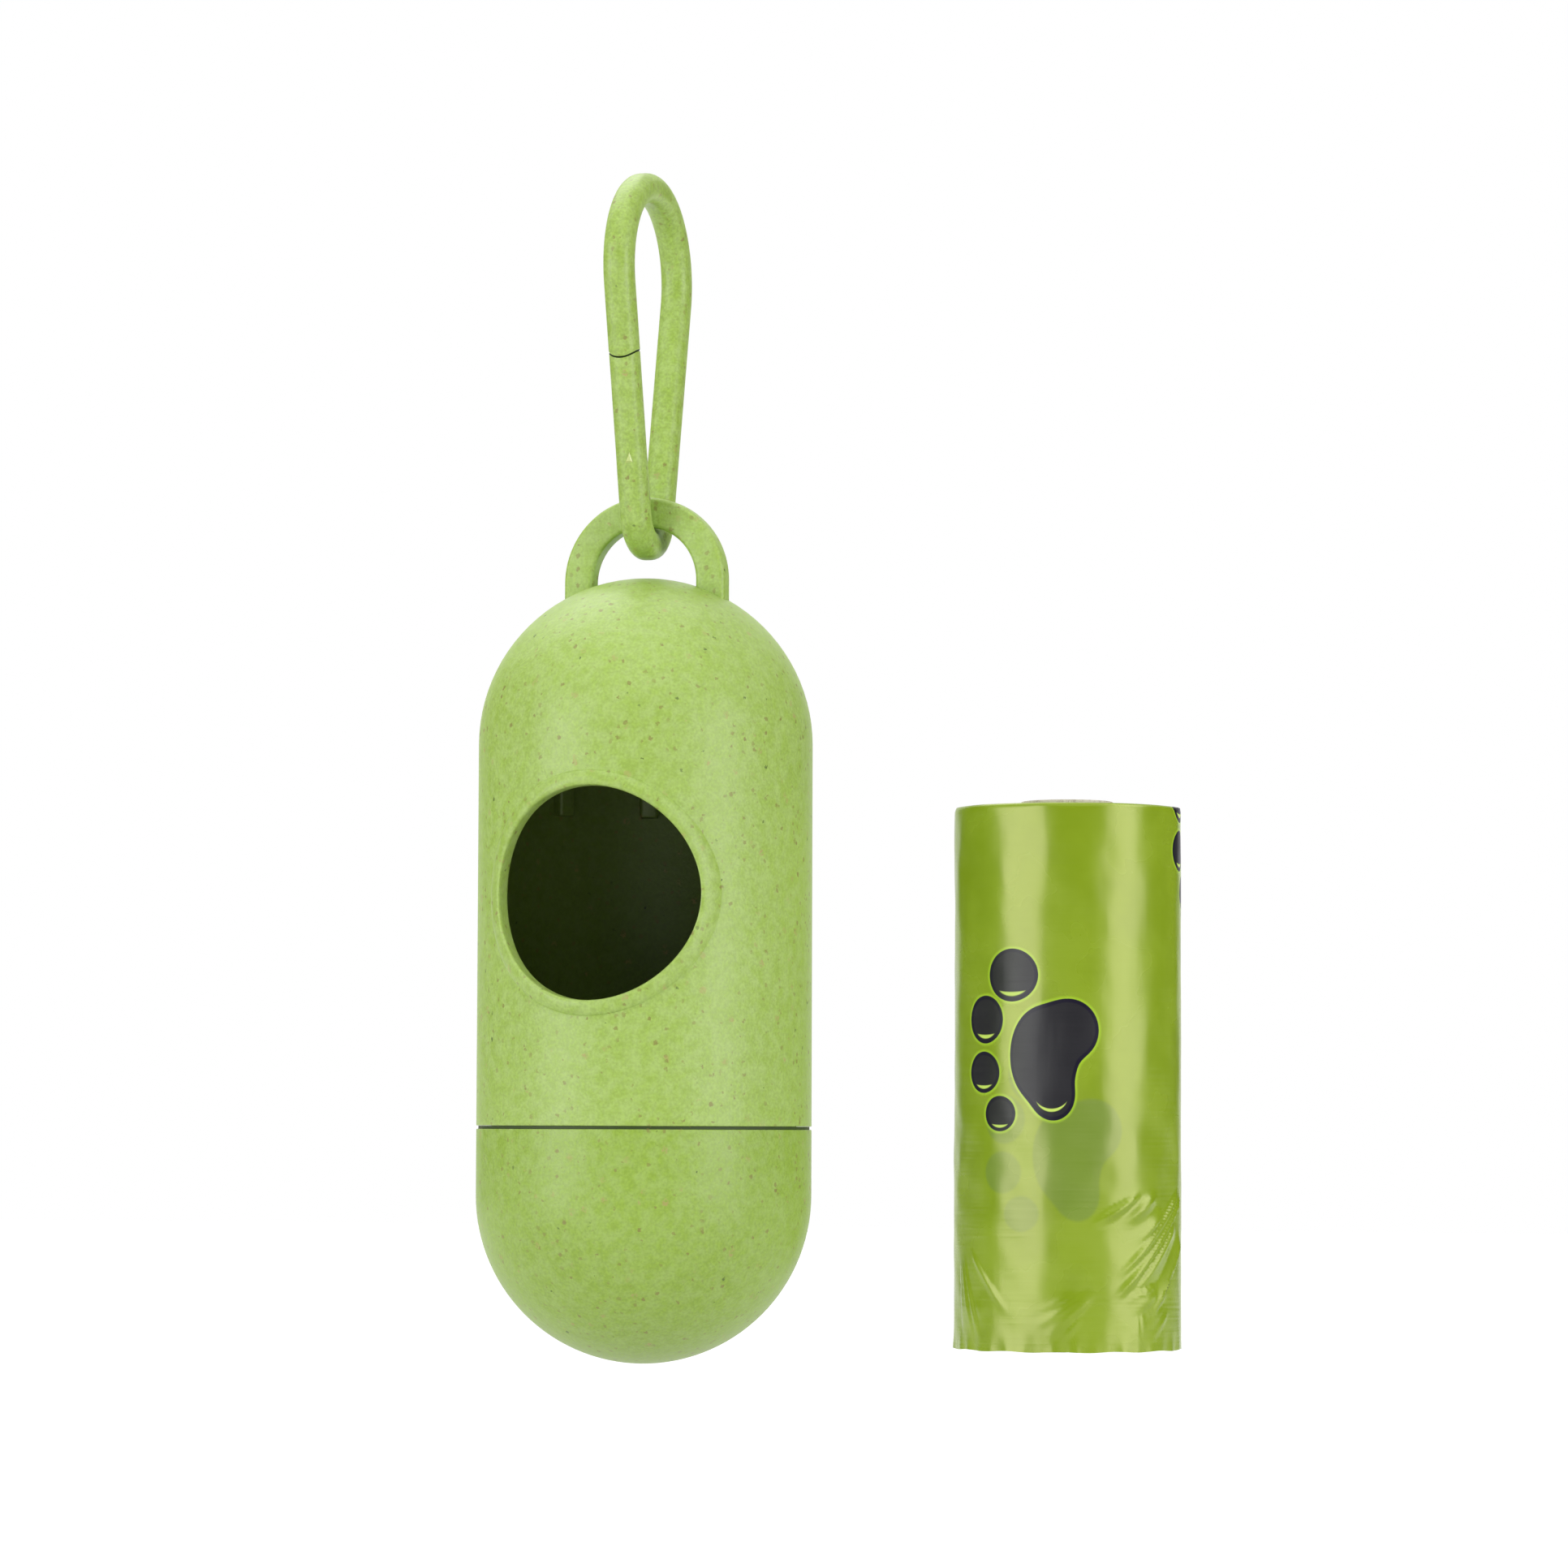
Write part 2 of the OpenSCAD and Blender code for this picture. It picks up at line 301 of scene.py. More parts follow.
CAPSULE_BOXES = [soft_box("box_left", -57, 8, 0.9, (0.45, 0.56), 5.3),
                 soft_box("box_right", 52, 8, 0.9, (0.45, 0.56), 5.3),
                 soft_box("box_above", 0, 62, 0.75, (0.50, 0.40), 1.7)]
FILM_BOXES = [soft_box("film_box_left", -49, 8, 0.9, (0.80, 0.56), 4.7),
              soft_box("film_box_right", 60, 8, 0.9, (0.58, 0.56), 4.3),
              soft_box("film_box_above", 72, 40, 0.9, (0.60, 0.45), 3.6)]
soft_box("box_top", -150, 66, 0.9, (0.8, 0.8), 2.2)

# %% [markdown]
# ## A dark curtain for the reflections
# Between the two bands the film and its ink are dark, and the capsule's edges don't glare. So the
# photographer's side of the room was dark, and only the boxes and the wall behind shone. A
# curtain round the front repeats that. Only reflections meet it: it takes no part in the soft
# light of the room, throws no shadow and isn't in the picture.

# %% Curtain
CURTAIN_R, CURTAIN_FOOT, CURTAIN_TOP, CURTAIN_REACH, PANELS = 1.5, -0.19, 0.75, 150, 40
curtain_paint, tree = new_material("curtain_black")
wear(tree, add_node(tree, "ShaderNodeBsdfDiffuse", {"Color": (0.02, 0.02, 0.02, 1)}))
curtain_points, curtain_faces = [], []
for k, bearing in enumerate(np.radians(np.linspace(-CURTAIN_REACH, CURTAIN_REACH, PANELS + 1))):
    place = level_line(bearing) * CURTAIN_R
    curtain_points += [(place.x, place.y, CURTAIN_FOOT), (place.x, place.y, CURTAIN_TOP)]
    if k:
        curtain_faces.append((2 * k - 2, 2 * k, 2 * k + 1, 2 * k - 1))
curtain = flat_object("curtain", curtain_points, curtain_faces, curtain_paint)
for ray in ("camera", "diffuse", "transmission", "volume_scatter", "shadow"):
    setattr(curtain, "visible_" + ray, False)
print("curtain of", len(curtain_faces), "panels")

# %% [markdown]
# ## From points to a mesh
# Most pieces here are turned, swept or both, so they are made straight from lists of points. One
# helper turns such a list into an object: it merges points that meet at a pole, makes the normals
# point outwards, and shades smoothly except over edges that are really sharp.

# %% Mesh helpers
def shade_smoothly(mesh, sharp=40):
    """Smooth shading, with edges left sharp past so many degrees."""
    mesh.shade_smooth()
    mesh.set_sharp_from_angle(angle=math.radians(sharp))


def make_object(name, points, faces, material, sharp=40, merge=1e-4):
    """Object from points in millimetres in the solids' frame."""
    mesh = bpy.data.meshes.new(name)
    mesh.from_pydata([tuple(p) for p in np.asarray(points, float) * MM], [], faces)
    bm = bmesh.new()
    bm.from_mesh(mesh)
    bmesh.ops.remove_doubles(bm, verts=bm.verts, dist=merge * MM)
    bmesh.ops.recalc_face_normals(bm, faces=bm.faces)
    bm.to_mesh(mesh)
    bm.free()
    shade_smoothly(mesh, sharp)
    mesh.materials.append(material)
    return add_object(name, mesh)


def report(piece):
    """Prints a piece's size in millimetres and its number of triangles."""
    mesh = piece.data
    co = np.array([v.co for v in mesh.vertices]) / MM
    triangles = sum(len(p.vertices) - 2 for p in mesh.polygons)
    print(piece.name, "from", co.min(0).round(2), "to", co.max(0).round(2), triangles, "triangles")


def next_row(points, count):
    """Numbers of the next points that are added to a list."""
    return list(range(len(points), len(points) + count))


def ring_faces(rows, count):
    """Quads all the way round between neighbouring rows; each row is a list of point numbers."""
    faces = []
    for lower, upper in zip(rows, rows[1:]):
        for k in range(count):
            n = (k + 1) % count
            faces.append((lower[k], lower[n], upper[n], upper[k]))
    return faces


def rounded(corners, steps=5):
    """Polyline through corners (x, y, radius) with each corner rounded to its radius."""
    line = []
    for k, (x, y, r) in enumerate(corners):
        if r <= 0:
            line.append((x, y))
            continue
        corner = np.array((x, y))
        before = np.array(corners[k - 1][:2]) - corner
        after = np.array(corners[(k + 1) % len(corners)][:2]) - corner
        before /= np.linalg.norm(before)
        after /= np.linalg.norm(after)
        half = math.acos(max(-1.0, min(1.0, float(before @ after)))) / 2
        middle = corner + (before + after) / np.linalg.norm(before + after) * r / math.sin(half)
        start = corner + before * r / math.tan(half) - middle
        end = corner + after * r / math.tan(half) - middle
        span = math.pi - 2 * half
        for step in range(steps + 1):
            t = step / steps
            mix = (math.sin((1 - t) * span) * start + math.sin(t * span) * end) / math.sin(span)
            line.append(tuple(middle + mix))
    return line


def arc(centre_y, radius, start, end, steps):
    """Points (x, y, 0) on a circle about (0, centre_y), angles in degrees from +X."""
    angles = np.radians(np.linspace(start, end, steps + 1))
    return [(radius * math.cos(a), centre_y + radius * math.sin(a), 0) for a in angles]


# %% [markdown]
# ## Straw-filled plastic
# The shell, cap and clip are moulded from a plastic filled with ground straw. It is satin, not
# glossy, and on a close look it is cloudy and carries specks: sparse dark ones, small brown ones
# and larger pale tan ones. All three pieces share this, also inside the shell and down in their
# joints, so it is one shader node group. The specks are small balls strewn through space, cut
# open by the surface, which is how real filler shows. Each has its own size and strength. Object
# coordinates are enough for that, and they keep the specks still when parts move.

# %% Straw speckle group
def new_group(name, kind, takes, gives):
    """Node group with typed sockets and its input and output nodes."""
    group = bpy.data.node_groups.new(name, kind)
    for side, sockets in (("INPUT", takes), ("OUTPUT", gives)):
        for socket, socket_type in sockets:
            group.interface.new_socket(socket, in_out=side, socket_type="NodeSocket" + socket_type)
    return group, group.nodes.new("NodeGroupInput"), group.nodes.new("NodeGroupOutput")


speckle, given, made = new_group(
    "straw_speckle", "ShaderNodeTree",
    [("Vector", "Vector"), ("Base", "Color"), ("Dark", "Color"), ("Brown", "Color"),
     ("Straw", "Color"), ("Clouding", "Float")],
    [("Color", "Color"), ("Roughness Shift", "Float"), ("Height", "Float")])


SMALLEST, FAINTEST, SOFT_EDGE = 0.55, 0.45, 0.4
SPECK_BEND = 0.0006


def specks(tree, vector, cells, size, share):
    """Strength of small balls, one in each cell, of which only a share is used."""
    cell = add_node(tree, "ShaderNodeTexVoronoi", {"Vector": vector, "Scale": cells})
    draw = add_node(tree, "ShaderNodeSeparateColor", {0: cell.outputs["Color"]}).outputs
    chosen = calc(tree, "LESS_THAN", draw[0], share)
    radius = ramp(tree, draw[1], 0, 1, size * SMALLEST, size, False)
    strength = ramp(tree, draw[2], 0, 1, FAINTEST, 1.0, False)
    inside = calc(tree, "SUBTRACT", radius, cell.outputs["Distance"])
    return calc(tree, "MULTIPLY", calc(tree, "MULTIPLY", chosen, strength),
                ramp(tree, inside, 0.0, size * SOFT_EDGE))


clouds = noise(speckle, given.outputs["Vector"], 800.0, 3.0)
fine = noise(speckle, given.outputs["Vector"], 3000.0, 2.0)
wide = noise(speckle, given.outputs["Vector"], 75.0, 2.0)
cloud_sum = calc(speckle, "ADD", calc(speckle, "MULTIPLY", clouds.outputs[0], 0.33),
                 calc(speckle, "ADD", calc(speckle, "MULTIPLY", fine.outputs[0], 0.60),
                      calc(speckle, "MULTIPLY", wide.outputs[0], 0.07)))
signed = ramp(speckle, cloud_sum, 0.38, 0.62, -1.0, 1.0, False)
value = calc(speckle, "ADD", calc(speckle, "MULTIPLY", signed, given.outputs["Clouding"]), 1.0)
cloudy = add_node(speckle, "ShaderNodeHueSaturation",
                  {"Value": value, "Color": given.outputs["Base"],
                   "Saturation": ramp(speckle, clouds.outputs[0], 0.35, 0.65, 1.05, 0.94, False)})
swerve = add_node(speckle, "ShaderNodeVectorMath",
                  {0: fine.outputs["Color"], 1: (SPECK_BEND,) * 3}, operation="MULTIPLY")
bent = add_node(speckle, "ShaderNodeVectorMath",
                {0: given.outputs["Vector"], 1: swerve.outputs[0]}, operation="ADD").outputs[0]
straw_bits = calc(speckle, "MULTIPLY", specks(speckle, bent, 470.0, 0.28, 0.50),
                  ramp(speckle, fine.outputs[0], 0.38, 0.60))
painted = cloudy.outputs[0]
for bits, cover, paint in ((straw_bits, 0.70, "Straw"),
                           (specks(speckle, bent, 1100.0, 0.40, 0.30), 0.78, "Brown"),
                           (specks(speckle, bent, 500.0, 0.15, 0.36), 0.90, "Dark")):
    painted = blend_colour(speckle, calc(speckle, "MULTIPLY", bits, cover), painted,
                           given.outputs[paint])
speckle.links.new(painted, made.inputs["Color"])
speckle.links.new(calc(speckle, "MULTIPLY", signed, 0.06), made.inputs["Roughness Shift"])
speckle.links.new(calc(speckle, "ADD", fine.outputs[0],
                       calc(speckle, "MULTIPLY", straw_bits, 0.5)), made.inputs["Height"])

# %% Straw plastics
GRAIN_DEEP = 0.00006
DARK_BIT, BROWN_BIT, STRAW_BIT = srgb(74, 92, 38), srgb(134, 124, 66), srgb(176, 148, 100)


def straw_plastic(name, base, clouding, roughness, grain):
    """Satin moulded plastic with the shared speckle and its own colour."""
    material, tree = new_material(name)
    mix = add_node(tree, "ShaderNodeGroup", {
        "Vector": add_node(tree, "ShaderNodeTexCoord").outputs["Object"], "Base": base,
        "Dark": DARK_BIT, "Brown": BROWN_BIT, "Straw": STRAW_BIT, "Clouding": clouding},
        node_tree=speckle)
    bump = add_node(tree, "ShaderNodeBump", {"Strength": grain, "Distance": GRAIN_DEEP,
                                             "Height": mix.outputs["Height"]})
    wear(tree, add_node(tree, "ShaderNodeBsdfPrincipled", {
        "Base Color": mix.outputs["Color"],
        "Roughness": calc(tree, "ADD", mix.outputs["Roughness Shift"], roughness),
        "Normal": bump.outputs[0], "IOR": 1.47}))
    return material


SHELL_PLASTIC = straw_plastic("shell_straw_plastic", srgb(162, 190, 94), 0.11, 0.42, 0.50)
# Painted shade: the inside of the shell and its ribs get this darker base colour, which stands for
# the shade inside the capsule.
INNER_PAINTED_SHADE = straw_plastic("inner_painted_shade_straw_plastic", srgb(119, 138, 66), 0.085, 0.42, 0.35)
CAP_PLASTIC = straw_plastic("cap_straw_plastic", srgb(151, 180, 79), 0.11, 0.42, 0.50)
# Painted shade: a dark green for the walls of the seam's groove and the faces in the clip's joint,
# which stands for the shade down in them.
SEAM_PAINTED_SHADE = straw_plastic("seam_painted_shade_straw_plastic", srgb(58, 76, 28), 0.085, 0.60, 0.30)
CLIP_PLASTIC = straw_plastic("clip_straw_plastic", srgb(159, 187, 89), 0.15, 0.40, 0.50)
print("speckle group of", len(speckle.nodes), "nodes")

# %% [markdown]
# ## Shell: wall, dome and mouth
# The shell is one moulding: a tube that closes in a dome, with a round mouth in its side and a
# soft raised rim round that. Cutting the mouth with a boolean would leave long thin triangles and
# a hard edge. Instead the wall is a turned grid with a square window in it, and rings of faces
# lead from the window's edge to the rim, over it, through the wall and out over the inside. Every
# point of a ring lies on a cylinder, so the wall stays truly round up to the rim.

# %% Shell wall
AROUND = 192
BORE_R = BODY_R - WALL
MOUTH_Z = SEAM + 27.1
HALF_WIDE, HALF_TALL, WINDOW_ROWS = 32, 17.4, 54
SEAM_GAP = 0.02


def window_wall(points, profile, first):
    """Turned grid of profile rows (radius, height). Returns its rows, its faces and the numbers
    of the points round the window, whose lowest row is first."""
    rows = []
    for radius, height in profile:
        rows.append(next_row(points, AROUND))
        for k in range(AROUND):
            a = 2 * math.pi * k / AROUND
            points.append((radius * math.sin(a), -radius * math.cos(a), TIP + height))
    faces = []
    for i in range(len(rows) - 1):
        in_window = first <= i < first + WINDOW_ROWS
        for k in range(AROUND):
            if in_window and (k < HALF_WIDE or k >= AROUND - HALF_WIDE):
                continue
            n = (k + 1) % AROUND
            faces.append((rows[i][k], rows[i][n], rows[i + 1][n], rows[i + 1][k]))
    across = range(-HALF_WIDE, HALF_WIDE)
    up = range(first, first + WINDOW_ROWS)
    last = first + WINDOW_ROWS
    edge = [rows[first][k] for k in across]
    edge += [rows[i][HALF_WIDE] for i in up]
    edge += [rows[last][-k] for k in across]
    edge += [rows[last - (i - first)][-HALF_WIDE] for i in up]
    return rows, faces, edge


window_heights = [MOUTH_Z + HALF_TALL * (2 * k / WINDOW_ROWS - 1) for k in range(WINDOW_ROWS + 1)]
foot = SEAM + SEAM_GAP
outer_foot = rounded([(BORE_R + 0.4, foot, 0), (BODY_R, foot, 0.10), (BODY_R, foot + 2, 0)])
low_heights = np.linspace(foot + 1.2, window_heights[0], 6)[:-1]
outer_low = outer_foot[:-1] + [(BODY_R, z) for z in low_heights]
inner_foot = [(BORE_R + 0.15, foot), (BORE_R + 0.04, foot + 0.06), (BORE_R, foot + 0.18)]
inner_low = inner_foot + [(BORE_R, z) for z in low_heights]
dome_angles = np.radians(np.linspace(0, 90, 25))


def wall_profile(low, radius):
    """Rows of a wall from the seam to the pole of its dome."""
    dome = [(radius * math.cos(a), DOME + radius * math.sin(a)) for a in dome_angles]
    dome[-1] = (0.0, dome[-1][1])
    return low + [(radius, z) for z in window_heights] + dome


shell_points = []
outer_rows, outer_faces, outer_edge = window_wall(shell_points, wall_profile(outer_low, BODY_R),
                                                  len(outer_low))
inner_rows, inner_faces, inner_edge = window_wall(shell_points, wall_profile(inner_low, BORE_R),
                                                  len(inner_low))

# Rim, hole wall and inner edge: distance from the mouth's axis and height above the outer wall
RIM_LINE = [(15.1, 0.0), (14.6, 0.0), (14.42, 0.0), (14.34, 0.02), (14.3, 0.09), (14.25, 0.18),
            (14.12, 0.28), (13.95, 0.38), (13.72, 0.48), (13.48, 0.55), (13.25, 0.59),
            (13.05, 0.6), (12.88, 0.585), (12.72, 0.53), (12.59, 0.42), (12.52, 0.27),
            (12.5, 0.1), (12.5, -0.45), (12.5, -1.1), (12.52, -1.55), (12.59, -1.72),
            (12.72, -1.79), (12.95, -1.8)]


def window_rings(points, start_edge, line, end_edge):
    """Rows from one window's edge over the rim line to the other window's edge."""
    def flat(number):
        return np.array((points[number][0], points[number][2] - TIP - MOUTH_Z))

    def add_row(places, height):
        row = next_row(points, len(places))
        for x, z in places:
            y = -math.sqrt((BODY_R + height) ** 2 - x * x)
            points.append((x, y, TIP + MOUTH_Z + z))
        return row

    starts = [flat(n) for n in start_edge]
    ends = [flat(n) for n in end_edge]
    bearings = [s / np.linalg.norm(s) for s in starts]
    rows = [start_edge]
    for share in (0.3, 0.55, 0.75, 0.9):
        rows.append(add_row([s + (b * line[0][0] - s) * share
                             for s, b in zip(starts, bearings)], 0.0))
    for radius, height in line:
        rows.append(add_row([b * radius for b in bearings], height))
    for share in (0.25, 0.6):
        rows.append(add_row([b * line[-1][0] + (e - b * line[-1][0]) * share
                             for e, b in zip(ends, bearings)], line[-1][1]))
    rows.append(end_edge)
    return rows


mouth_rows = window_rings(shell_points, outer_edge, RIM_LINE, inner_edge)
shell_faces = outer_faces + inner_faces + ring_faces(mouth_rows, len(outer_edge))
shell_faces += ring_faces([outer_rows[0], inner_rows[0]], AROUND)
shell = make_object("shell_wall", shell_points, shell_faces, SHELL_PLASTIC)
shell.data.materials.append(INNER_PAINTED_SHADE)
# Faces inside the bore take the darker inner plastic: painted shade inside the capsule.
for face in shell.data.polygons:
    middle = face.center / MM
    over_dome = max(0.0, middle.z - TIP - DOME)
    if math.sqrt(middle.x ** 2 + middle.y ** 2 + over_dome ** 2) < BORE_R + 0.15:
        face.material_index = 1
report(shell)

# %% [markdown]
# ## Ribs inside the shell
# Four short ribs stand on the inside of the back wall and keep the roll in the middle; one end
# shows through the mouth. They are one shape repeated round an arc, which is what Geometry Nodes
# do well: a line of points becomes angles, each angle turns and carries a copy of the rib.

# %% Rib tree
def settled(name, group, values, source=None):
    """Runs a Geometry Nodes tree, with its inputs set by the sockets' identifiers, and returns
    its result as a plain mesh object."""
    carrier = add_object(name + "_carrier", source or bpy.data.meshes.new(name + "_carrier"))
    modifier = carrier.modifiers.new(group.name, "NODES")
    modifier.node_group = group
    for item in group.interface.items_tree:
        if item.item_type == "SOCKET" and item.in_out == "INPUT" and item.name in values:
            modifier[item.identifier] = values[item.name]
    depsgraph = bpy.context.evaluated_depsgraph_get()
    mesh = bpy.data.meshes.new_from_object(carrier.evaluated_get(depsgraph), depsgraph=depsgraph)
    bpy.data.objects.remove(carrier)
    mesh.name = name
    return add_object(name, mesh)


def end_tree(tree, geometry, material, made):
    """Ends a tree: copies made real, their material, and the output."""
    real = add_node(tree, "GeometryNodeRealizeInstances", {0: geometry})
    coated = add_node(tree, "GeometryNodeSetMaterial", {"Geometry": real.outputs[0],
                                                        "Material": material})
    tree.links.new(coated.outputs[0], made.inputs[0])


rib_tree, given, made = new_group(
    "ribs_round_the_back", "GeometryNodeTree",
    [("Rib", "Object"), ("Count", "Int"), ("Pitch", "Float"), ("Plastic", "Material")],
    [("Geometry", "Geometry")])
spots = add_node(rib_tree, "GeometryNodePoints", {"Count": given.outputs["Count"]})
index = add_node(rib_tree, "GeometryNodeInputIndex").outputs[0]
middle = calc(rib_tree, "MULTIPLY", calc(rib_tree, "SUBTRACT", given.outputs["Count"], 1.0), 0.5)
turn = calc(rib_tree, "MULTIPLY", calc(rib_tree, "SUBTRACT", index, middle), given.outputs["Pitch"])
facing = add_node(rib_tree, "ShaderNodeCombineXYZ", {2: turn})
rib_shape = add_node(rib_tree, "GeometryNodeObjectInfo", {0: given.outputs["Rib"]})
copies = add_node(rib_tree, "GeometryNodeInstanceOnPoints", {
    "Points": spots.outputs[0], "Instance": rib_shape.outputs["Geometry"],
    "Rotation": facing.outputs[0]})
end_tree(rib_tree, copies.outputs[0], given.outputs["Plastic"], made)

# %% Rib shape and its copies
RIB_W, RIB_H, RIB_DROP = 2.3, 1.5, 7.8


def rib_mesh():
    """One rib on the +Y side: a bar with a round nose that runs up into the dome."""
    face = BORE_R - RIB_H
    back = BORE_R + 0.3
    top = DOME + math.sqrt(BORE_R ** 2 - face ** 2) - 0.6
    outline = rounded([(-RIB_W / 2, back, 0), (-RIB_W / 2, face, 0.45), (RIB_W / 2, face, 0.45),
                       (RIB_W / 2, back, 0)], steps=4)
    points, rows = [], []
    for z, inset in ((DOME - RIB_DROP, 0.35), (DOME - RIB_DROP + 0.1, 0.12),
                     (DOME - RIB_DROP + 0.35, 0.0), (DOME - 2, 0.0), (top, 0.0)):
        rows.append(next_row(points, len(outline)))
        for x, y in outline:
            points.append((x * (1 - inset / RIB_W), y + inset * (y < face + 1), TIP + z))
    faces = ring_faces(rows, len(outline))
    faces += [tuple(rows[0]), tuple(reversed(rows[-1]))]
    return points, faces


rib_points, rib_faces = rib_mesh()
# The ribs take the darker inner plastic too, painted shade as on the shell's inside.
one_rib = make_object("one_rib", rib_points, rib_faces, INNER_PAINTED_SHADE)
ribs = settled("shell_ribs", rib_tree, {"Rib": one_rib, "Count": 4, "Pitch": math.radians(36),
                                        "Plastic": INNER_PAINTED_SHADE})
bpy.data.objects.remove(one_rib)
report(ribs)

# %% [markdown]
# ## Bent bars: the loop and the clip
# The loop on the dome and the clip are both bars of one section bent along a line, so both come
# from one Geometry Nodes tree: a rounded rectangle swept along a curve. The curve's own normal is
# fixed square to the bend's plane, or the section would twist on the way round.

# %% Swept bar tree
bar_tree, given, made = new_group(
    "swept_bar", "GeometryNodeTree",
    [("Path", "Geometry"), ("Across", "Float"), ("Deep", "Float"), ("Corner", "Float"),
     ("Square To", "Vector"), ("Closed Ends", "Bool"), ("Plastic", "Material")],
    [("Geometry", "Geometry")])
upright = add_node(bar_tree, "GeometryNodeSetCurveNormal", {
    "Curve": given.outputs["Path"], "Normal": given.outputs["Square To"]}, mode="FREE")
outline = add_node(bar_tree, "GeometryNodeCurvePrimitiveQuadrilateral",
                   {"Width": given.outputs["Across"], "Height": given.outputs["Deep"]})
soft_outline = add_node(bar_tree, "GeometryNodeFilletCurve", {
    "Curve": outline.outputs[0], "Radius": given.outputs["Corner"], "Count": 7}, mode="POLY")
bar = add_node(bar_tree, "GeometryNodeCurveToMesh", {
    "Curve": upright.outputs[0], "Profile Curve": soft_outline.outputs[0],
    "Fill Caps": given.outputs["Closed Ends"]})
smooth = add_node(bar_tree, "GeometryNodeSetShadeSmooth", {0: bar.outputs[0]})
end_tree(bar_tree, smooth.outputs[0], given.outputs["Plastic"], made)


def path_curve(name, points):
    """Open poly curve through points in millimetres."""
    curve = bpy.data.curves.new(name, "CURVE")
    curve.dimensions = "3D"
    spline = curve.splines.new("POLY")
    spline.points.add(len(points) - 1)
    for place, point in zip(spline.points, points):
        place.co = (*(c * MM for c in point), 1.0)
    return curve


# %% Loop on the dome
RING_W, RING_BAR, RING_DEEP, RING_ROUND, RING_TOP = 20.3, 3.6, 2.6, 0.55, 103.6
ring_mid = (RING_W - RING_BAR) / 2
arch_z = TIP + RING_TOP - RING_W / 2
foot_z = TIP + DOME + math.sqrt((BODY_R - WALL / 2) ** 2 - (RING_W / 2) ** 2)
ring_path = [(ring_mid, 0, z) for z in np.linspace(foot_z, arch_z, 5)[:-1]]
ring_path += [(ring_mid * math.cos(a), 0, arch_z + ring_mid * math.sin(a))
              for a in np.radians(np.linspace(0, 180, 73))]
ring_path += [(-ring_mid, 0, z) for z in np.linspace(arch_z, foot_z, 5)[1:]]
ring = settled("shell_loop", bar_tree, {
    "Across": RING_DEEP * MM, "Deep": RING_BAR * MM, "Corner": RING_ROUND * MM,
    "Square To": (0, 1, 0), "Closed Ends": True, "Plastic": SHELL_PLASTIC},
    source=path_curve("loop_path", ring_path))
report(ring)
for piece in (shell, ribs, ring):
    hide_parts("shell")
    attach(piece, "capsule")

# %% [markdown]
# ## End cap
# The cap is a turned piece: a bowl that carries on the shell's outline, a softened edge at the
# seam, and a spigot that plugs into the shell. One line from pole to pole, outside and back
# inside, turned round the axis, gives the whole closed wall with its real thickness. The seam
# reads as a thin dark line, so the cap's edge has a shallow groove whose walls carry painted shade.

# %% End cap
SPIGOT_R, SPIGOT_BORE, SPIGOT_TOP, SEAT = 18.1, 16.7, 34.2, 25.5
GROOVE_DEEP, GROOVE_TALL = 0.25, 0.36


def turned(name, corners, centre, material, around=AROUND, steps=5):
    """Closed piece turned about an upright axis, from rounded corners (radius, height, round)."""
    line = rounded(corners, steps)
    points, rows = [], []
    for radius, height in line:
        rows.append(next_row(points, around))
        for k in range(around):
            a = 2 * math.pi * k / around
            points.append((centre[0] + radius * math.cos(a), centre[1] + radius * math.sin(a),
                           TIP + height))
    if corners[0][0] > 0:
        rows.append(rows[0])
    return make_object(name, points, ring_faces(rows, around), material)


cap_line = arc(BODY_R, BODY_R, -90, 0, 30)
cap_line[0] = (0.0, 0.0, 0)
groove = SEAM - GROOVE_TALL
cap_line += [(BODY_R, groove, 0.12), (BODY_R - GROOVE_DEEP, groove, 0),
             (BODY_R - GROOVE_DEEP, SEAM, 0), (SPIGOT_R, SEAM, 0.12), (SPIGOT_R, SPIGOT_TOP, 0.3),
             (SPIGOT_BORE, SPIGOT_TOP, 0.3), (SPIGOT_BORE, SEAT, 0.3), (BORE_R, SEAT - 1.5, 0.3)]
inner_bowl = arc(BODY_R, BORE_R, 0, -90, 26)
inner_bowl[-1] = (0.0, WALL, 0)
cap = turned("end_cap_bowl", cap_line + inner_bowl, (0, 0), CAP_PLASTIC)
cap.data.materials.append(SEAM_PAINTED_SHADE)
# Painted shade: the groove's walls take the dark green.
for face in cap.data.polygons:
    middle = face.center / MM
    off_axis = math.hypot(middle.x, middle.y)
    if (groove < middle.z - TIP + 0.01 < SEAM
            and BODY_R - GROOVE_DEEP - 0.01 < off_axis < BODY_R - 0.02):
        face.material_index = 1
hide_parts("end_cap")
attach(cap, "cap")
report(cap)

# %% [markdown]
# ## Snap clip
# The clip is one bar, bent into a drop: a wide bend at the top for the lead, a tight one below
# for the loop, and a straight leg on each side. The front leg is parted by a curved joint, and
# below that joint it is the gate. The frame is swept along the whole line from the nose to the
# gate's root. Its two ends are then closed, because the nose isn't flat: each end is
# given as a height along the leg for every point across it.

# %% Clip line
ROD, ROD_ROUND = 3.6, 1.5
HOOK_R, EYE_R, SPAN = 10.45, 4.2, 28.5
GATE_ROOT, GATE_TIP, GATE_GAP, NOSE_R = 4.5, 19.0, 0.05, 3.0
GATE_RELIEF, BEND_ZONE = 0.02, 2.1
NOSE_EDGE, TIP_EDGE, ROOT_EDGE = 0.20, 0.14, 0.01
eye_z = TIP + RING_TOP - RING_BAR - 0.3 + EYE_R - ROD / 2
hook_z = eye_z + SPAN
lean = math.asin((HOOK_R - EYE_R) / SPAN)
leg_length = SPAN * math.cos(lean)


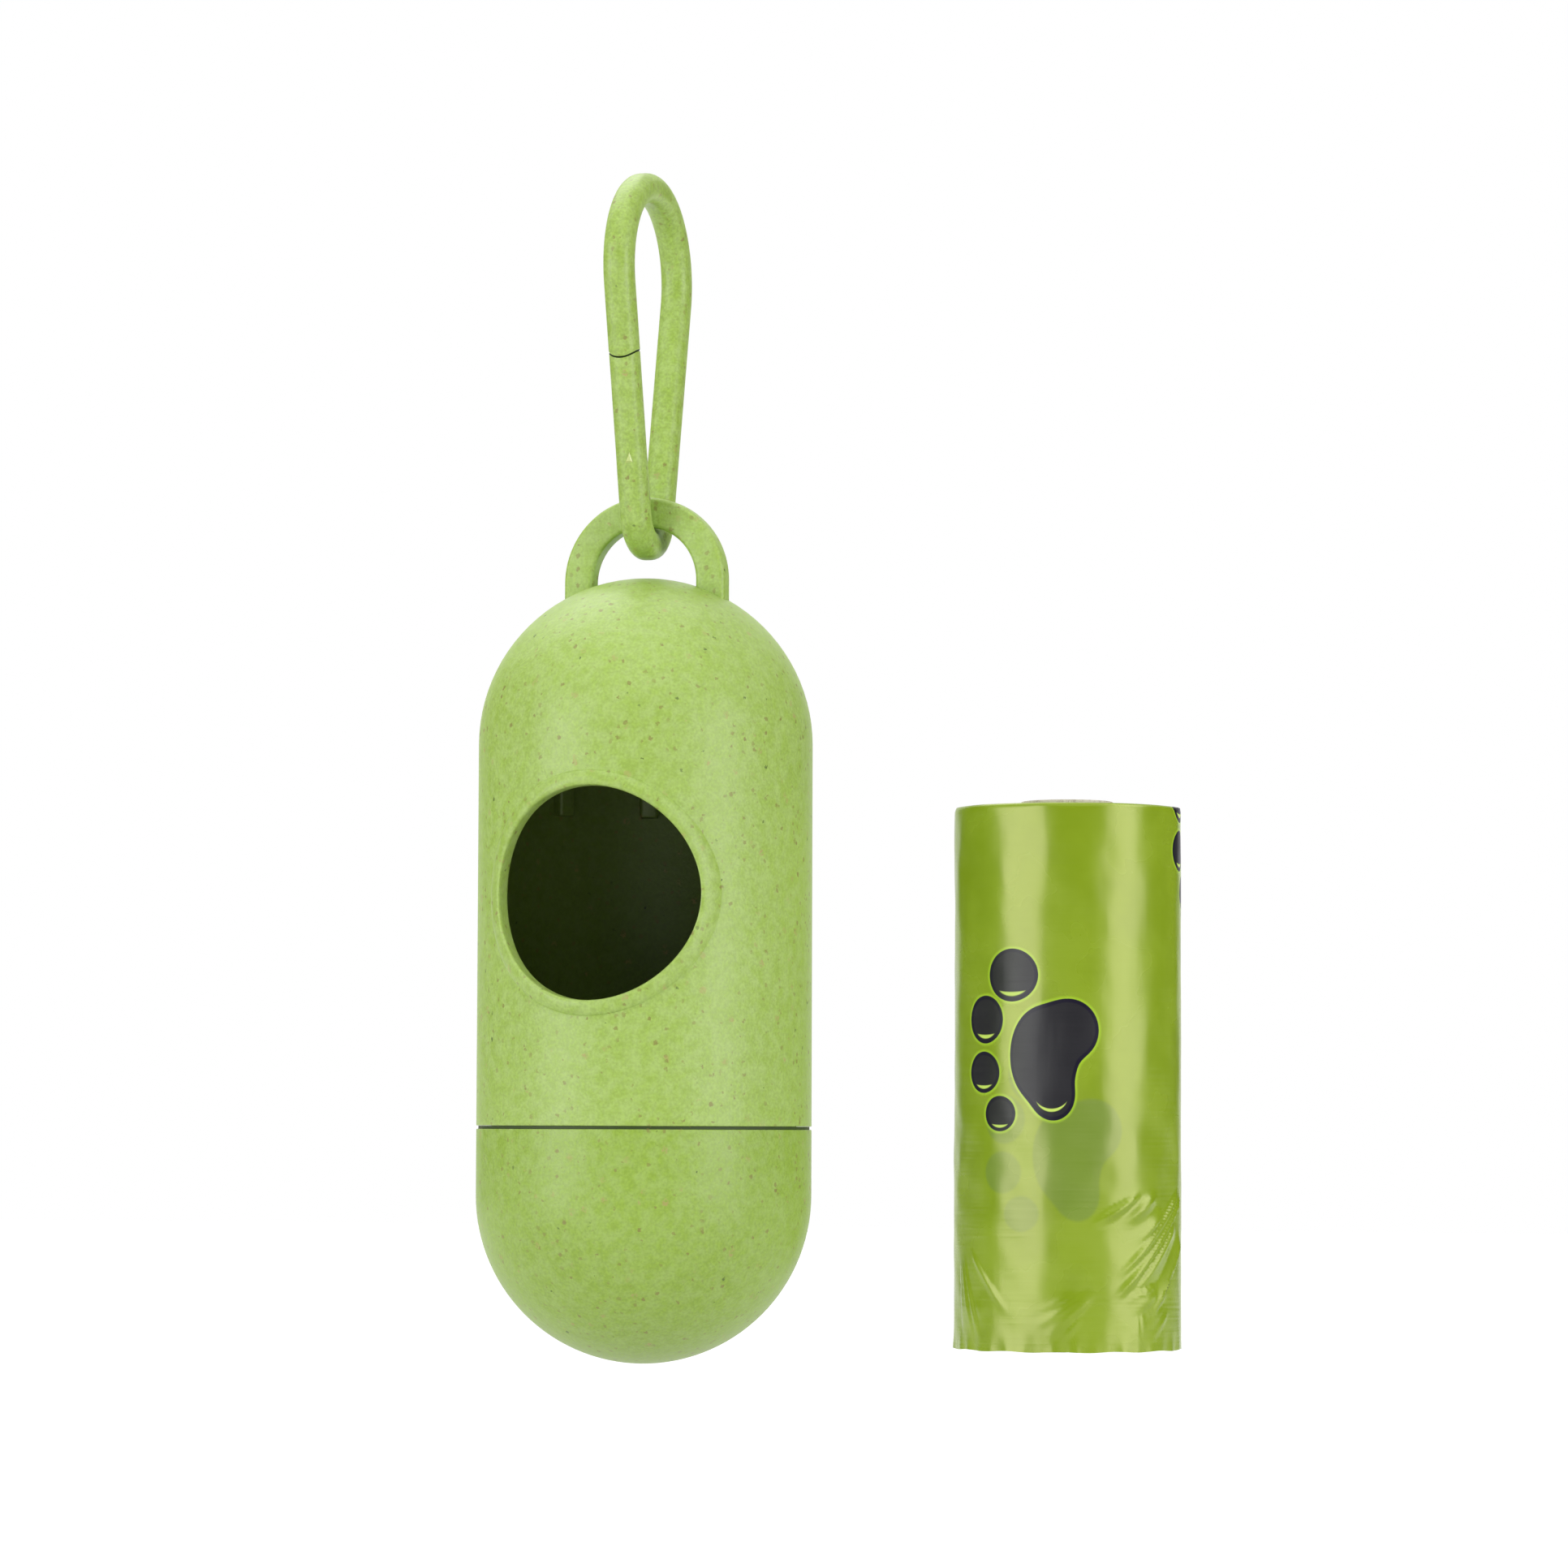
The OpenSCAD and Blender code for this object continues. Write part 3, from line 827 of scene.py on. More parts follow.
def leg_point(side, x, across, along):
    """Point on a leg: along it from the tight bend, across it in the clip's plane, x sideways."""
    y = side * EYE_R * math.cos(lean) + across * math.cos(lean) + side * along * math.sin(lean)
    z = (eye_z - EYE_R * math.sin(lean) + along * math.cos(lean)
         - side * across * math.sin(lean))
    return x, y, z


def bend(radius, centre, start, end, steps):
    """Arc in the clip's plane, angles in degrees from +Y."""
    return [(0, radius * math.cos(a), centre + radius * math.sin(a))
            for a in np.radians(np.linspace(start, end, steps + 1))]


tilt = math.degrees(lean)
frame_path = [leg_point(-1, 0, 0, s) for s in np.linspace(GATE_TIP + 0.9, leg_length, 9)[:-1]]
frame_path += bend(HOOK_R, hook_z, 180 + tilt, -tilt, 66)
frame_path += [leg_point(1, 0, 0, s) for s in np.linspace(leg_length, 0, 15)[1:-1]]
frame_path += bend(EYE_R, eye_z, 360 - tilt, 180 + tilt, 44)
frame_path += [leg_point(-1, 0, 0, s) for s in np.linspace(0, GATE_ROOT - 0.15, 5)[1:]]
clip = settled("clip_bar", bar_tree, {
    "Across": ROD * MM, "Deep": ROD * MM, "Corner": ROD_ROUND * MM, "Square To": (1, 0, 0),
    "Closed Ends": False, "Plastic": CLIP_PLASTIC}, source=path_curve("clip_path", frame_path))

# %% Clip ends
def on_front_leg(x, across, along):
    """A place on the front leg in metres."""
    return Vector(leg_point(-1, x, across, along)) * MM


def front_leg_place(point):
    """(x, across, along) on the front leg of a point in metres."""
    x, y, z = (c / MM for c in point)
    y += EYE_R * math.cos(lean)
    z -= eye_z - EYE_R * math.sin(lean)
    return x, y * math.cos(lean) + z * math.sin(lean), z * math.cos(lean) - y * math.sin(lean)


def band(bm, lower, upper, paint=0):
    """Faces all the way round between two rings of points."""
    for k in range(len(lower)):
        n = (k + 1) % len(lower)
        bm.faces.new((lower[k], lower[n], upper[n], upper[k])).material_index = paint


def leg_end(bm, ring, height, out, edge, shade=0):
    """Closes a ring of (x, across) places with a softened edge and a face at height(x, across).
    out is 1 where the end faces up the leg and -1 where it faces down it; shade is the number of the
    material of the faces that lie down in the joint, and where it isn't 0 that material is painted
    shade."""
    rows = []
    for turn in (0.0, 30.0, 60.0, 90.0):
        inset = edge * (1 - math.cos(math.radians(turn)))
        back = edge * (1 - math.sin(math.radians(turn)))
        row = []
        for x, across in ring:
            size = math.hypot(x, across)
            keep = (size - inset) / size
            place = (x * keep, across * keep)
            row.append(bm.verts.new(on_front_leg(*place, height(*place) - out * back)))
        rows.append(row)
    for lower, upper in zip(rows, rows[1:]):
        band(bm, lower, upper, 0 if lower is rows[0] else shade)
    last, count = rows[-1], len(ring)
    for k in range(count // 2):
        four = (last[k], last[k + 1], last[(count - k - 1) % count], last[(count - k) % count])
        corners = list(dict.fromkeys(four))
        if len(corners) > 2:
            bm.faces.new(corners).material_index = shade
    return rows[0]


def sorted_ring(places, start):
    """Places (x, across, thing) in order of their bearing, from start degrees."""
    return sorted(places, key=lambda p: round(math.degrees(math.atan2(p[1], p[0])) - start, 4) % 360)


def nose_end(x, across):
    return GATE_TIP + NOSE_R - math.sqrt(NOSE_R ** 2 - x * x)


def root_end(x, across):
    return GATE_ROOT


def close_bar(piece):
    """Gives the swept bar its nose and its flat root."""
    bm = bmesh.new()
    bm.from_mesh(piece.data)
    bmesh.ops.remove_doubles(bm, verts=bm.verts, dist=1e-7)
    open_verts = {v for e in bm.edges if e.is_boundary for v in e.verts}
    ends = [(front_leg_place(v.co), v) for v in open_verts]
    for upper, height, out, edge in ((True, nose_end, -1, NOSE_EDGE),
                                     (False, root_end, 1, ROOT_EDGE)):
        places = [(p[0], p[1], v) for p, v in ends if (p[2] > GATE_TIP) == upper]
        ring = sorted_ring(places, 0.0 if upper else 90.0)
        row = leg_end(bm, [(x, a) for x, a, v in ring], height, out, edge, shade=int(upper))
        band(bm, [v for x, a, v in ring], row)
    bmesh.ops.recalc_face_normals(bm, faces=bm.faces)
    bm.to_mesh(piece.data)
    bm.free()
    shade_smoothly(piece.data)


close_bar(clip)
# The nose's faces in the joint take the dark green as painted shade.
clip.data.materials.append(SEAM_PAINTED_SHADE)
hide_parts("clip_frame")
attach(clip, "clip")
report(clip)

# %% [markdown]
# ## Gate
# On the real clip the gate is the same moulding as the frame: the leg itself bends when a thumb
# pushes it. So the gate has the frame's full section at its root and grows a little slimmer above,
# to slip past the nose, and its tip is hollow to match the nose. It can't ride one body, because
# it must stay on the frame below and turn with the gate above. The joint's faces carry painted
# shade, a dark green, so that the joint reads as a line. A small scar of the mould stands on
# the front face, and its paler colour is painted highlight.

# %% Gate
# The mould scar is real raised geometry with real gloss; its paler colour is painted highlight, which
# stands for the glint on it.
MARK_PAINTED_HIGHLIGHT = straw_plastic("mould_mark_painted_highlight_plastic", srgb(196, 212, 128), 0.05, 0.16, 0.1)


def bar_section(size, corner, steps=7):
    """Closed rounded square as (x, across), starting at the middle of the +X side."""
    half = size / 2
    square = [(half, half), (-half, half), (-half, -half), (half, -half)]
    line = rounded([(x, y, corner) for x, y in square], steps)
    middles = [(half, 0.0), (0.0, half), (-half, 0.0), (0.0, -half)]
    ring = []
    for side in range(4):
        ring.append(middles[side])
        ring += line[side * (steps + 1):(side + 1) * (steps + 1)]
    return ring


def gate_tip(x, across):
    return GATE_TIP + NOSE_R - math.sqrt((NOSE_R + GATE_GAP) ** 2 - x * x)


def add_mark(bm):
    """The small three-sided scar that the mould left on the gate's front face."""
    face = -ROD / 2
    foot = [(x, face + 0.02, s) for x, s in ((-0.27, 6.35), (0.72, 6.45), (0.35, 7.65))]
    top = [(x, face - 0.16, s) for x, s in ((-0.02, 6.6), (0.52, 6.65), (0.32, 7.25))]
    low, high = ([bm.verts.new(on_front_leg(*p)) for p in row] for row in (foot, top))
    # The scar's faces take the paler mark plastic: painted highlight.
    for row in (high, low):
        bm.faces.new(row).material_index = 1
    band(bm, low, high, 1)


def gate_mesh():
    """Bar from the frame's end to the hollow tip, a little slimmer above the root."""
    full = bar_section(ROD, ROD_ROUND)
    slim = bar_section(ROD - 2 * GATE_RELIEF, ROD_ROUND - GATE_RELIEF)
    bm = bmesh.new()
    rows = [leg_end(bm, full, root_end, -1, ROOT_EDGE)]
    # The hollow tip takes the dark green, material 2, as painted shade.
    upper = leg_end(bm, slim, gate_tip, 1, TIP_EDGE, shade=2)
    for along in np.linspace(GATE_ROOT + 0.2, GATE_TIP - 0.6, 56):
        share = min(1.0, (along - GATE_ROOT) / 3.0)
        share = share * share * (3 - 2 * share)
        rows.append([bm.verts.new(on_front_leg(*(p + (q - p) * share for p, q in zip(a, b)), along))
                     for a, b in zip(full, slim)])
    rows.append(upper)
    for low, high in zip(rows, rows[1:]):
        band(bm, low, high)
    add_mark(bm)
    bmesh.ops.recalc_face_normals(bm, faces=bm.faces)
    mesh = bpy.data.meshes.new("clip_gate_bar")
    bm.to_mesh(mesh)
    bm.free()
    shade_smoothly(mesh, sharp=30)
    for plastic in (CLIP_PLASTIC, MARK_PAINTED_HIGHLIGHT, SEAM_PAINTED_SHADE):
        mesh.materials.append(plastic)
    return mesh


gate = add_object("clip_gate_bar", gate_mesh())
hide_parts("clip_gate")
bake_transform(gate)
report(gate)

# %% [markdown]
# ## Cardboard core
# A core tube is wound from strips of grey-brown board, so its ends show layers and its bore a
# slanting seam. The shape is a turned tube; the fibres, the layers and the seam are in the
# material.

# %% Core
ROLL_X, ROLL_Y, ROLL_LEN = 41.3, 40.7, 66.95
ROLL_RISE = 0.9
CORE_R, CORE_BORE, CORE_TOP = 5.75, 4.75, 67.8
SEAM_CLIMB, BOARD_LAYER = 0.021, 0.00033


def cardboard():
    """Raw board: mottled fibres, layered ends and a slanting seam."""
    material, tree = new_material("core_board")
    where = add_node(tree, "ShaderNodeTexCoord").outputs["Object"]
    fibres = noise(tree, stretch(tree, where, (1.0, 1.0, 0.35)), 1500.0, 5.0,
                   Distortion=1.2).outputs[0]
    patches = noise(tree, where, 240.0, 3.0).outputs[0]
    board = blend_colour(tree, ramp(tree, patches, 0.35, 0.65),
                         srgb(188, 183, 162), srgb(208, 203, 184))
    flecked = blend_colour(tree, ramp(tree, fibres, 0.45, 0.72), board, srgb(134, 120, 98))
    centred = add_node(tree, "ShaderNodeMapping", {
        "Vector": where, "Location": (-ROLL_X * MM, -ROLL_Y * MM, -TIP * MM)})
    x, y, z = parts(tree, centred.outputs[0])
    climb = calc(tree, "ADD", calc(tree, "MULTIPLY", z, 1 / SEAM_CLIMB),
                 calc(tree, "MULTIPLY", calc(tree, "ARCTAN2", y, x), 1 / (2 * math.pi)))
    off_seam = calc(tree, "ABSOLUTE", calc(tree, "SUBTRACT", calc(tree, "FRACT", climb), 0.5))
    seam = ramp(tree, off_seam, 0.0, 0.02, 1.0, 0.0)
    radius = length(tree, add_node(tree, "ShaderNodeCombineXYZ", {0: x, 1: y}).outputs[0])
    layer = calc(tree, "SINE", calc(tree, "MULTIPLY", radius, 2 * math.pi / BOARD_LAYER))
    facing = parts(tree, add_node(tree, "ShaderNodeNewGeometry").outputs["Normal"])
    end_face = ramp(tree, calc(tree, "ABSOLUTE", facing[2]), 0.5, 0.9)
    layered = calc(tree, "MULTIPLY", end_face, ramp(tree, layer, 0.2, 1.0, 0.0, 0.45))
    colour = blend_colour(tree, layered, flecked, srgb(96, 84, 66))
    colour = blend_colour(tree, calc(tree, "MULTIPLY", seam, 0.6), colour, srgb(88, 76, 58))
    height = calc(tree, "SUBTRACT", fibres, calc(tree, "ADD", layered, seam))
    bump = add_node(tree, "ShaderNodeBump", {"Strength": 0.6, "Distance": 0.00012, "Height": height})
    wear(tree, add_node(tree, "ShaderNodeBsdfPrincipled", {
        "Base Color": colour, "Roughness": 0.92, "Normal": bump.outputs[0]}))
    return material


CORE_BOARD = cardboard()
core_line = [(CORE_R, ROLL_RISE, 0.12), (CORE_R, ROLL_RISE + CORE_TOP, 0.2),
             (CORE_BORE, ROLL_RISE + CORE_TOP, 0.2), (CORE_BORE, ROLL_RISE, 0.12)]
core = turned("roll_core_tube", core_line, (ROLL_X, ROLL_Y), CORE_BOARD, around=96, steps=3)
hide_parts("roll_core")
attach(core, "roll")
report(core)

# %% [markdown]
# ## Wound bags
# From above or below the roll shows the edges of many turns of film, wound in one spiral and
# never quite level. A spiral is a rule, so Geometry Nodes draw it: a flat spiral curve carries a
# thin upright strip, and noise along the film's length pulls its two edges in by different
# amounts. The noise follows the length and not the place, so neighbouring turns differ.

# %% Wound film tree
WOUND_IN, WOUND_OUT, TURNS = 5.98, 13.46, 36.0
FILM_THICK, UNEVEN, SEED = 0.16, 0.5, 3.7
wound_tree, given, made = new_group(
    "wound_film", "GeometryNodeTree",
    [("Turns", "Float"), ("Inner Radius", "Float"), ("Outer Radius", "Float"),
     ("Height", "Float"), ("Thickness", "Float"), ("Unevenness", "Float"), ("Seed", "Float"),
     ("Centre", "Vector"), ("Film", "Material")],
    [("Geometry", "Geometry")])
spiral = add_node(wound_tree, "GeometryNodeCurveSpiral", {
    "Resolution": 90, "Rotations": given.outputs["Turns"],
    "Start Radius": given.outputs["Inner Radius"], "End Radius": given.outputs["Outer Radius"],
    "Height": 0.0})
along = add_node(wound_tree, "GeometryNodeSplineParameter").outputs["Length"]
kept = add_node(wound_tree, "GeometryNodeCaptureAttribute", domain="POINT")
kept.capture_items.new("FLOAT", "Along")
wound_tree.links.new(spiral.outputs[0], kept.inputs["Geometry"])
wound_tree.links.new(along, kept.inputs["Along"])
upright = add_node(wound_tree, "GeometryNodeSetCurveNormal", {
    "Curve": kept.outputs["Geometry"], "Normal": (0, 0, 1)}, mode="FREE")
strip = add_node(wound_tree, "GeometryNodeCurvePrimitiveQuadrilateral",
                 {"Width": given.outputs["Height"], "Height": given.outputs["Thickness"]})
film_mesh = add_node(wound_tree, "GeometryNodeCurveToMesh", {
    "Curve": upright.outputs[0], "Profile Curve": strip.outputs[0], "Fill Caps": True})
place = add_node(wound_tree, "GeometryNodeInputPosition").outputs[0]
which_end = calc(wound_tree, "SIGN", parts(wound_tree, place)[2])
noise_at = calc(wound_tree, "ADD", kept.outputs["Along"],
                calc(wound_tree, "MULTIPLY", which_end, given.outputs["Seed"]))
slow = add_node(wound_tree, "ShaderNodeTexNoise", {"W": noise_at, "Scale": 42.0, "Detail": 3.0},
                noise_dimensions="1D")
pull = calc(wound_tree, "MULTIPLY", ramp(wound_tree, slow.outputs[0], 0.25, 0.8, 0.0, -1.0, False),
            calc(wound_tree, "MULTIPLY", which_end, given.outputs["Unevenness"]))
offset = add_node(wound_tree, "ShaderNodeCombineXYZ", {2: pull})
uneven = add_node(wound_tree, "GeometryNodeSetPosition", {"Geometry": film_mesh.outputs[0],
                                                          "Offset": offset.outputs[0]})
carried = add_node(wound_tree, "GeometryNodeTransform", {"Geometry": uneven.outputs[0],
                                                         "Translation": given.outputs["Centre"]})
shaded = add_node(wound_tree, "GeometryNodeSetShadeSmooth", {0: carried.outputs[0]})
end_tree(wound_tree, shaded.outputs[0], given.outputs["Film"], made)

# %% [markdown]
# ## Film and its print
# The bags are thin green film, glossy and a little see-through, so on the roll a bright print
# shows on the outermost turn and paler ghosts of the prints below it. Light that goes into the
# film and back out of its lower turns comes out green, which a tinted reflection stands for. The
# print is a plain paw: four toes and a pad. Each is an ellipse, and one node group measures how
# far a point lies outside the nearest of them; everything else is cut from that distance.

# %% Paw print group
paw, given, made = new_group(
    "paw_print", "ShaderNodeTree", [("Vector", "Vector")],
    [("Distance", "Float"), ("Glint", "Float")])


def ellipse_distance(tree, vector, centre, radii):
    """Place in an ellipse's own measure, and how far it lies outside it in millimetres."""
    local = add_node(tree, "ShaderNodeMapping", {
        "Vector": vector, "Location": (*centre, 0.0), "Scale": (*radii, 1.0)},
        vector_type="TEXTURE").outputs[0]
    span = calc(tree, "MULTIPLY", calc(tree, "SUBTRACT", length(tree, local), 1.0), sum(radii) / 2)
    return local, span


# Ellipses of a paw that points up: centre and radii, in millimetres about the paw's middle
TOES = [((-8.3, 5.15), (2.17, 2.3)), ((-3.25, 7.75), (2.54, 2.6)),
        ((3.2, 7.45), (2.94, 2.85)), ((8.6, 3.35), (3.24, 3.45))]
PAD = [((1.85, -3.75), (3.85, 3.8)), ((-1.2, -0.7), (6.0, 4.3)), ((-6.15, -1.95), (3.0, 2.65))]
PAD_GLINT = ((-6.05, -1.75), (2.4, 2.4))
PAD_MELT, GLINT_EDGE = 2.2, 0.03


def crescent(tree, place, outer, shift, inner):
    """Thin crescent on the -X side: inside a circle about 0, outside one about (shift, 0)."""
    moved = add_node(tree, "ShaderNodeVectorMath", {0: place, 1: (-shift, 0.0, 0.0)},
                     operation="ADD").outputs[0]
    near, far = length(tree, place), length(tree, moved)
    return calc(tree, "MULTIPLY", ramp(tree, near, outer - GLINT_EDGE, outer + GLINT_EDGE, 1.0, 0.0),
                ramp(tree, far, inner - GLINT_EDGE, inner + GLINT_EDGE))


spot = given.outputs["Vector"]
distance = ellipse_distance(paw, spot, *PAD[0])[1]
for lobe in PAD[1:]:
    distance = calc(paw, "SMOOTH_MIN", distance, ellipse_distance(paw, spot, *lobe)[1], PAD_MELT)
glint = crescent(paw, ellipse_distance(paw, spot, *PAD_GLINT)[0], 0.84, 0.344, 1.035)
for toe in TOES:
    local, span = ellipse_distance(paw, spot, *toe)
    distance = calc(paw, "MINIMUM", distance, span)
    glint = calc(paw, "MAXIMUM", glint, crescent(paw, local, 0.79, 2.5, 3.14))
paw.links.new(distance, made.inputs["Distance"])
paw.links.new(glint, made.inputs["Glint"])
print("paw print group of", len(paw.nodes), "nodes")

# %% Film material
FILM_R = 13.95
AROUND_FILM = 2 * math.pi * FILM_R
PRINT_AT, GHOST_AT = (-21.9, 37.3), (-18.9, 25.1)
PRINT_STEP = (AROUND_FILM, 27.5)
PRINT_SHIFT = 30.5
FILM_TINT = (1.0, 0.91, 0.58, 1.0)
# Layers of a print: from where to where they fade, in millimetres outside it, cover and colour
GHOST_LAYERS = [(-0.25, 0.25, 0.5, srgb(96, 122, 62))]
PRINT_LAYERS = [(0.05, 0.45, 0.7, srgb(160, 198, 44)), (-0.05, 0.05, 1.0, srgb(11, 5, 30)),
                (-0.52, -0.38, 1.0, srgb(31, 30, 35))]


def film_print(tree, wrap, middle):
    """(distance, glint) of a staggered row of prints, one of which lies at middle."""
    part = parts(tree, wrap)
    u, v = (calc(tree, "SUBTRACT", part[k], middle[k]) for k in (0, 1))
    row = calc(tree, "ROUND", calc(tree, "DIVIDE", v, PRINT_STEP[1]))
    u = calc(tree, "SUBTRACT", u, calc(tree, "MULTIPLY", row, PRINT_SHIFT))
    column = calc(tree, "ROUND", calc(tree, "DIVIDE", u, PRINT_STEP[0]))
    across = calc(tree, "SUBTRACT", u, calc(tree, "MULTIPLY", column, PRINT_STEP[0]))
    up = calc(tree, "SUBTRACT", v, calc(tree, "MULTIPLY", row, PRINT_STEP[1]))
    # The paw lies on its side on the film: its toes point back along the turn
    local = add_node(tree, "ShaderNodeCombineXYZ", {0: up, 1: calc(tree, "MULTIPLY", across, -1.0)})
    one = add_node(tree, "ShaderNodeGroup", {0: local.outputs[0]}, node_tree=paw)
    return one.outputs[0], one.outputs[1]


def bag_film(name, printed):
    """Glossy green film, with prints where it is the outermost bag."""
    material, tree = new_material(name)
    where = add_node(tree, "ShaderNodeTexCoord").outputs["Object"]
    cloud = noise(tree, where, 120.0, 3.0).outputs[0]
    colour = blend_colour(tree, ramp(tree, cloud, 0.35, 0.65),
                          srgb(120, 144, 21), srgb(128, 152, 30))
    roughness = ramp(tree, cloud, 0.3, 0.7, 0.24, 0.29, False)
    lines = noise(tree, stretch(tree, where, (55.0, 55.0, 1700.0)), 1.0, 2.0)
    streaks = noise(tree, stretch(tree, where, (330.0, 330.0, 60.0)), 1.0, 2.0)
    height = calc(tree, "ADD", lines.outputs[0], calc(tree, "MULTIPLY", streaks.outputs[0], 3.0))
    gloss, tint = 0.5, FILM_TINT
    if printed:
        wrap = stretch(tree, add_node(tree, "ShaderNodeUVMap", uv_map="wrap").outputs[0],
                       (1000.0, 1000.0, 1.0))
        ghost, _ = film_print(tree, wrap, GHOST_AT)
        ink, shine = film_print(tree, wrap, PRINT_AT)
        for outside, layers in ((ghost, GHOST_LAYERS), (ink, PRINT_LAYERS)):
            for low, high, cover, paint in layers:
                share = ramp(tree, outside, low, high, cover, 0.0)
                colour = blend_colour(tree, share, colour, paint)
        colour = blend_colour(tree, shine, colour, srgb(186, 210, 96))
        printed_here = ramp(tree, ink, -0.05, 0.05, 1.0, 0.0)
        roughness = calc(tree, "ADD", roughness, calc(tree, "MULTIPLY", printed_here, 0.08))
        gloss = ramp(tree, printed_here, 0.0, 1.0, 0.5, 0.19, False)
        tint = blend_colour(tree, printed_here, FILM_TINT, (1.0, 1.0, 1.0, 1.0))
    bump = add_node(tree, "ShaderNodeBump", {"Strength": 0.40, "Distance": 0.00005,
                                             "Height": height})
    wear(tree, add_node(tree, "ShaderNodeBsdfPrincipled", {
        "Base Color": colour, "Roughness": roughness, "Normal": bump.outputs[0], "IOR": 1.7,
        "Specular IOR Level": gloss, "Specular Tint": tint}))
    return material


WOUND_FILM = bag_film("wound_film", printed=False)
OUTER_FILM = bag_film("outer_film_printed", printed=True)

# %% Wound film
wound = settled("wound_bags_spiral", wound_tree, {
    "Turns": TURNS, "Inner Radius": WOUND_IN * MM, "Outer Radius": WOUND_OUT * MM,
    "Height": ROLL_LEN * MM, "Thickness": FILM_THICK * MM, "Unevenness": UNEVEN * MM,
    "Seed": SEED, "Film": WOUND_FILM,
    "Centre": (ROLL_X * MM, ROLL_Y * MM, (TIP + ROLL_RISE + ROLL_LEN / 2) * MM)})
wound.data.set_sharp_from_angle(angle=math.radians(40))
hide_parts("wound_bags")
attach(wound, "roll")
report(wound)

# %% [markdown]
# ## Outermost bag
# The last bag is drawn tight over the middle of the roll and loose at its lower end, where it is
# creased: long slanting folds on the right and a gathered hem below. It is one sheet that starts
# under its own free end, goes once round and laps over itself. A cloth simulation would have to
# hold film 0.08 mm thick tight against itself for a whole turn. Drawing each fold as a ridge
# along a line gives creases under control, in real geometry that catches the light.

# %% Folds
FREE_EDGE, LAP = 70.0, 70.0
SHEET_T = 0.08
LOWEST, HIGHEST = -0.30, 0.52
rng = np.random.default_rng(11)

# Fans of folds: source (arc, height), first and last bearing in degrees, number of folds,
# where they begin and end along the bearing, and how high they stand
FANS = [((16.0, 34.0), (-150, -127), 7, (16, 44), 0.80),
        ((4.0, 12.0), (-160, -134), 3, (4, 18), 0.46),
        ((-36.0, 17.0), (-84, -48), 4, (5, 19), 0.40),
        ((-12.0, 9.5), (-165, -125), 3, (2, 13), 0.40),
        ((-9.0, 9.0), (-100, -40), 4, (2, 9), 0.34)]
for k in range(5):
    start = rng.uniform(-150, -60)
    FANS.append(((rng.uniform(8, 46), rng.uniform(12, 24)), (start, start + 40), 6,
                 (4, rng.uniform(14, 22)), rng.uniform(0.20, 0.34)))


def smooth_step(x):
    x = np.clip(x, 0, 1)
    return x * x * (3 - 2 * x)


def fan_height(u, v):
    """Height of all folds at arc u and height v, both arrays in millimetres."""
    total = np.zeros_like(u)
    for number, ((u0, v0), (first, last), count, (near, far), height) in enumerate(FANS):
        du = (u - u0 + AROUND_FILM / 2) % AROUND_FILM - AROUND_FILM / 2
        dv = v - v0
        reach = np.hypot(du, dv)
        share = (np.degrees(np.arctan2(dv, du)) - first) / (last - first)
        ray = np.clip(share * count + 0.35 * np.sin(share * 11 + number), 0, count)
        part = ray % 1.0
        # Each fold has its own length, height and steeper side
        own = np.sin((np.floor(ray) + 1) * 12.99 + number * 7.23) * 43.76 % 1.0
        steep = 0.22 + 0.5 * (own * 7.3 % 1.0)
        ridge = np.where(part < steep, part / steep, (1 - part) / (1 - steep))
        starts = near + (far - near) * 0.45 * own
        stops = far - (far - near) * 0.40 * (own * 3.7 % 1.0)
        inside = (share > 0) & (share < 1)
        within = smooth_step((reach - starts) / 3.0) * smooth_step((stops - reach) / 5.0)
        total = np.maximum(total, height * (0.5 + 0.5 * own) * inside * within * ridge)
    return total


def film_height(u, v):
    """Folds, a gathered hem at the bottom and faint slack everywhere."""
    hem = np.clip(1 - v / 2.6, 0, 1) ** 1.3
    gather = 0.07 * (np.sin(u * 1.7 + 1.5 * np.sin(u * 0.37)) + 0.6 * np.sin(u * 2.9 + 2.0)) * hem
    slack = 0.042 * np.sin(u * 0.62 + 1.4 * np.sin(v * 0.21 + 0.5) + 0.10 * v)
    slack += 0.022 * np.sin(u * 1.25 - 0.35 * v + 1.2 * np.sin(v * 0.13)) * np.sin(v * 0.17 + 1)
    slack += 0.012 * np.sin(u * 0.9 + 1.1 * v + np.sin(u * 0.5))
    top = 0.05 * np.clip(1 - (ROLL_LEN - v) / 1.2, 0, 1) * np.sin(u * 0.8)
    turned_in = 0.20 * np.clip(1 - (ROLL_LEN - v) / 0.7, 0, 1) ** 2
    return np.clip(fan_height(u, v) + gather + slack + top - turned_in, LOWEST, HIGHEST)


# %% Film sheet
SHEET_AROUND, SHEET_R = 400, 14.12


def sheet_radius(turned_by):
    """Outer radius of the sheet, by the angle from its free edge in degrees."""
    lap = smooth_step((turned_by - LAP) / 14)
    tuck = np.clip((turned_by - 352) / 8, 0, 1)
    lift = 0.06 * np.clip(1 - turned_by / 6, 0, 1) ** 2
    return SHEET_R + lift - 0.14 * lap - 0.18 * tuck


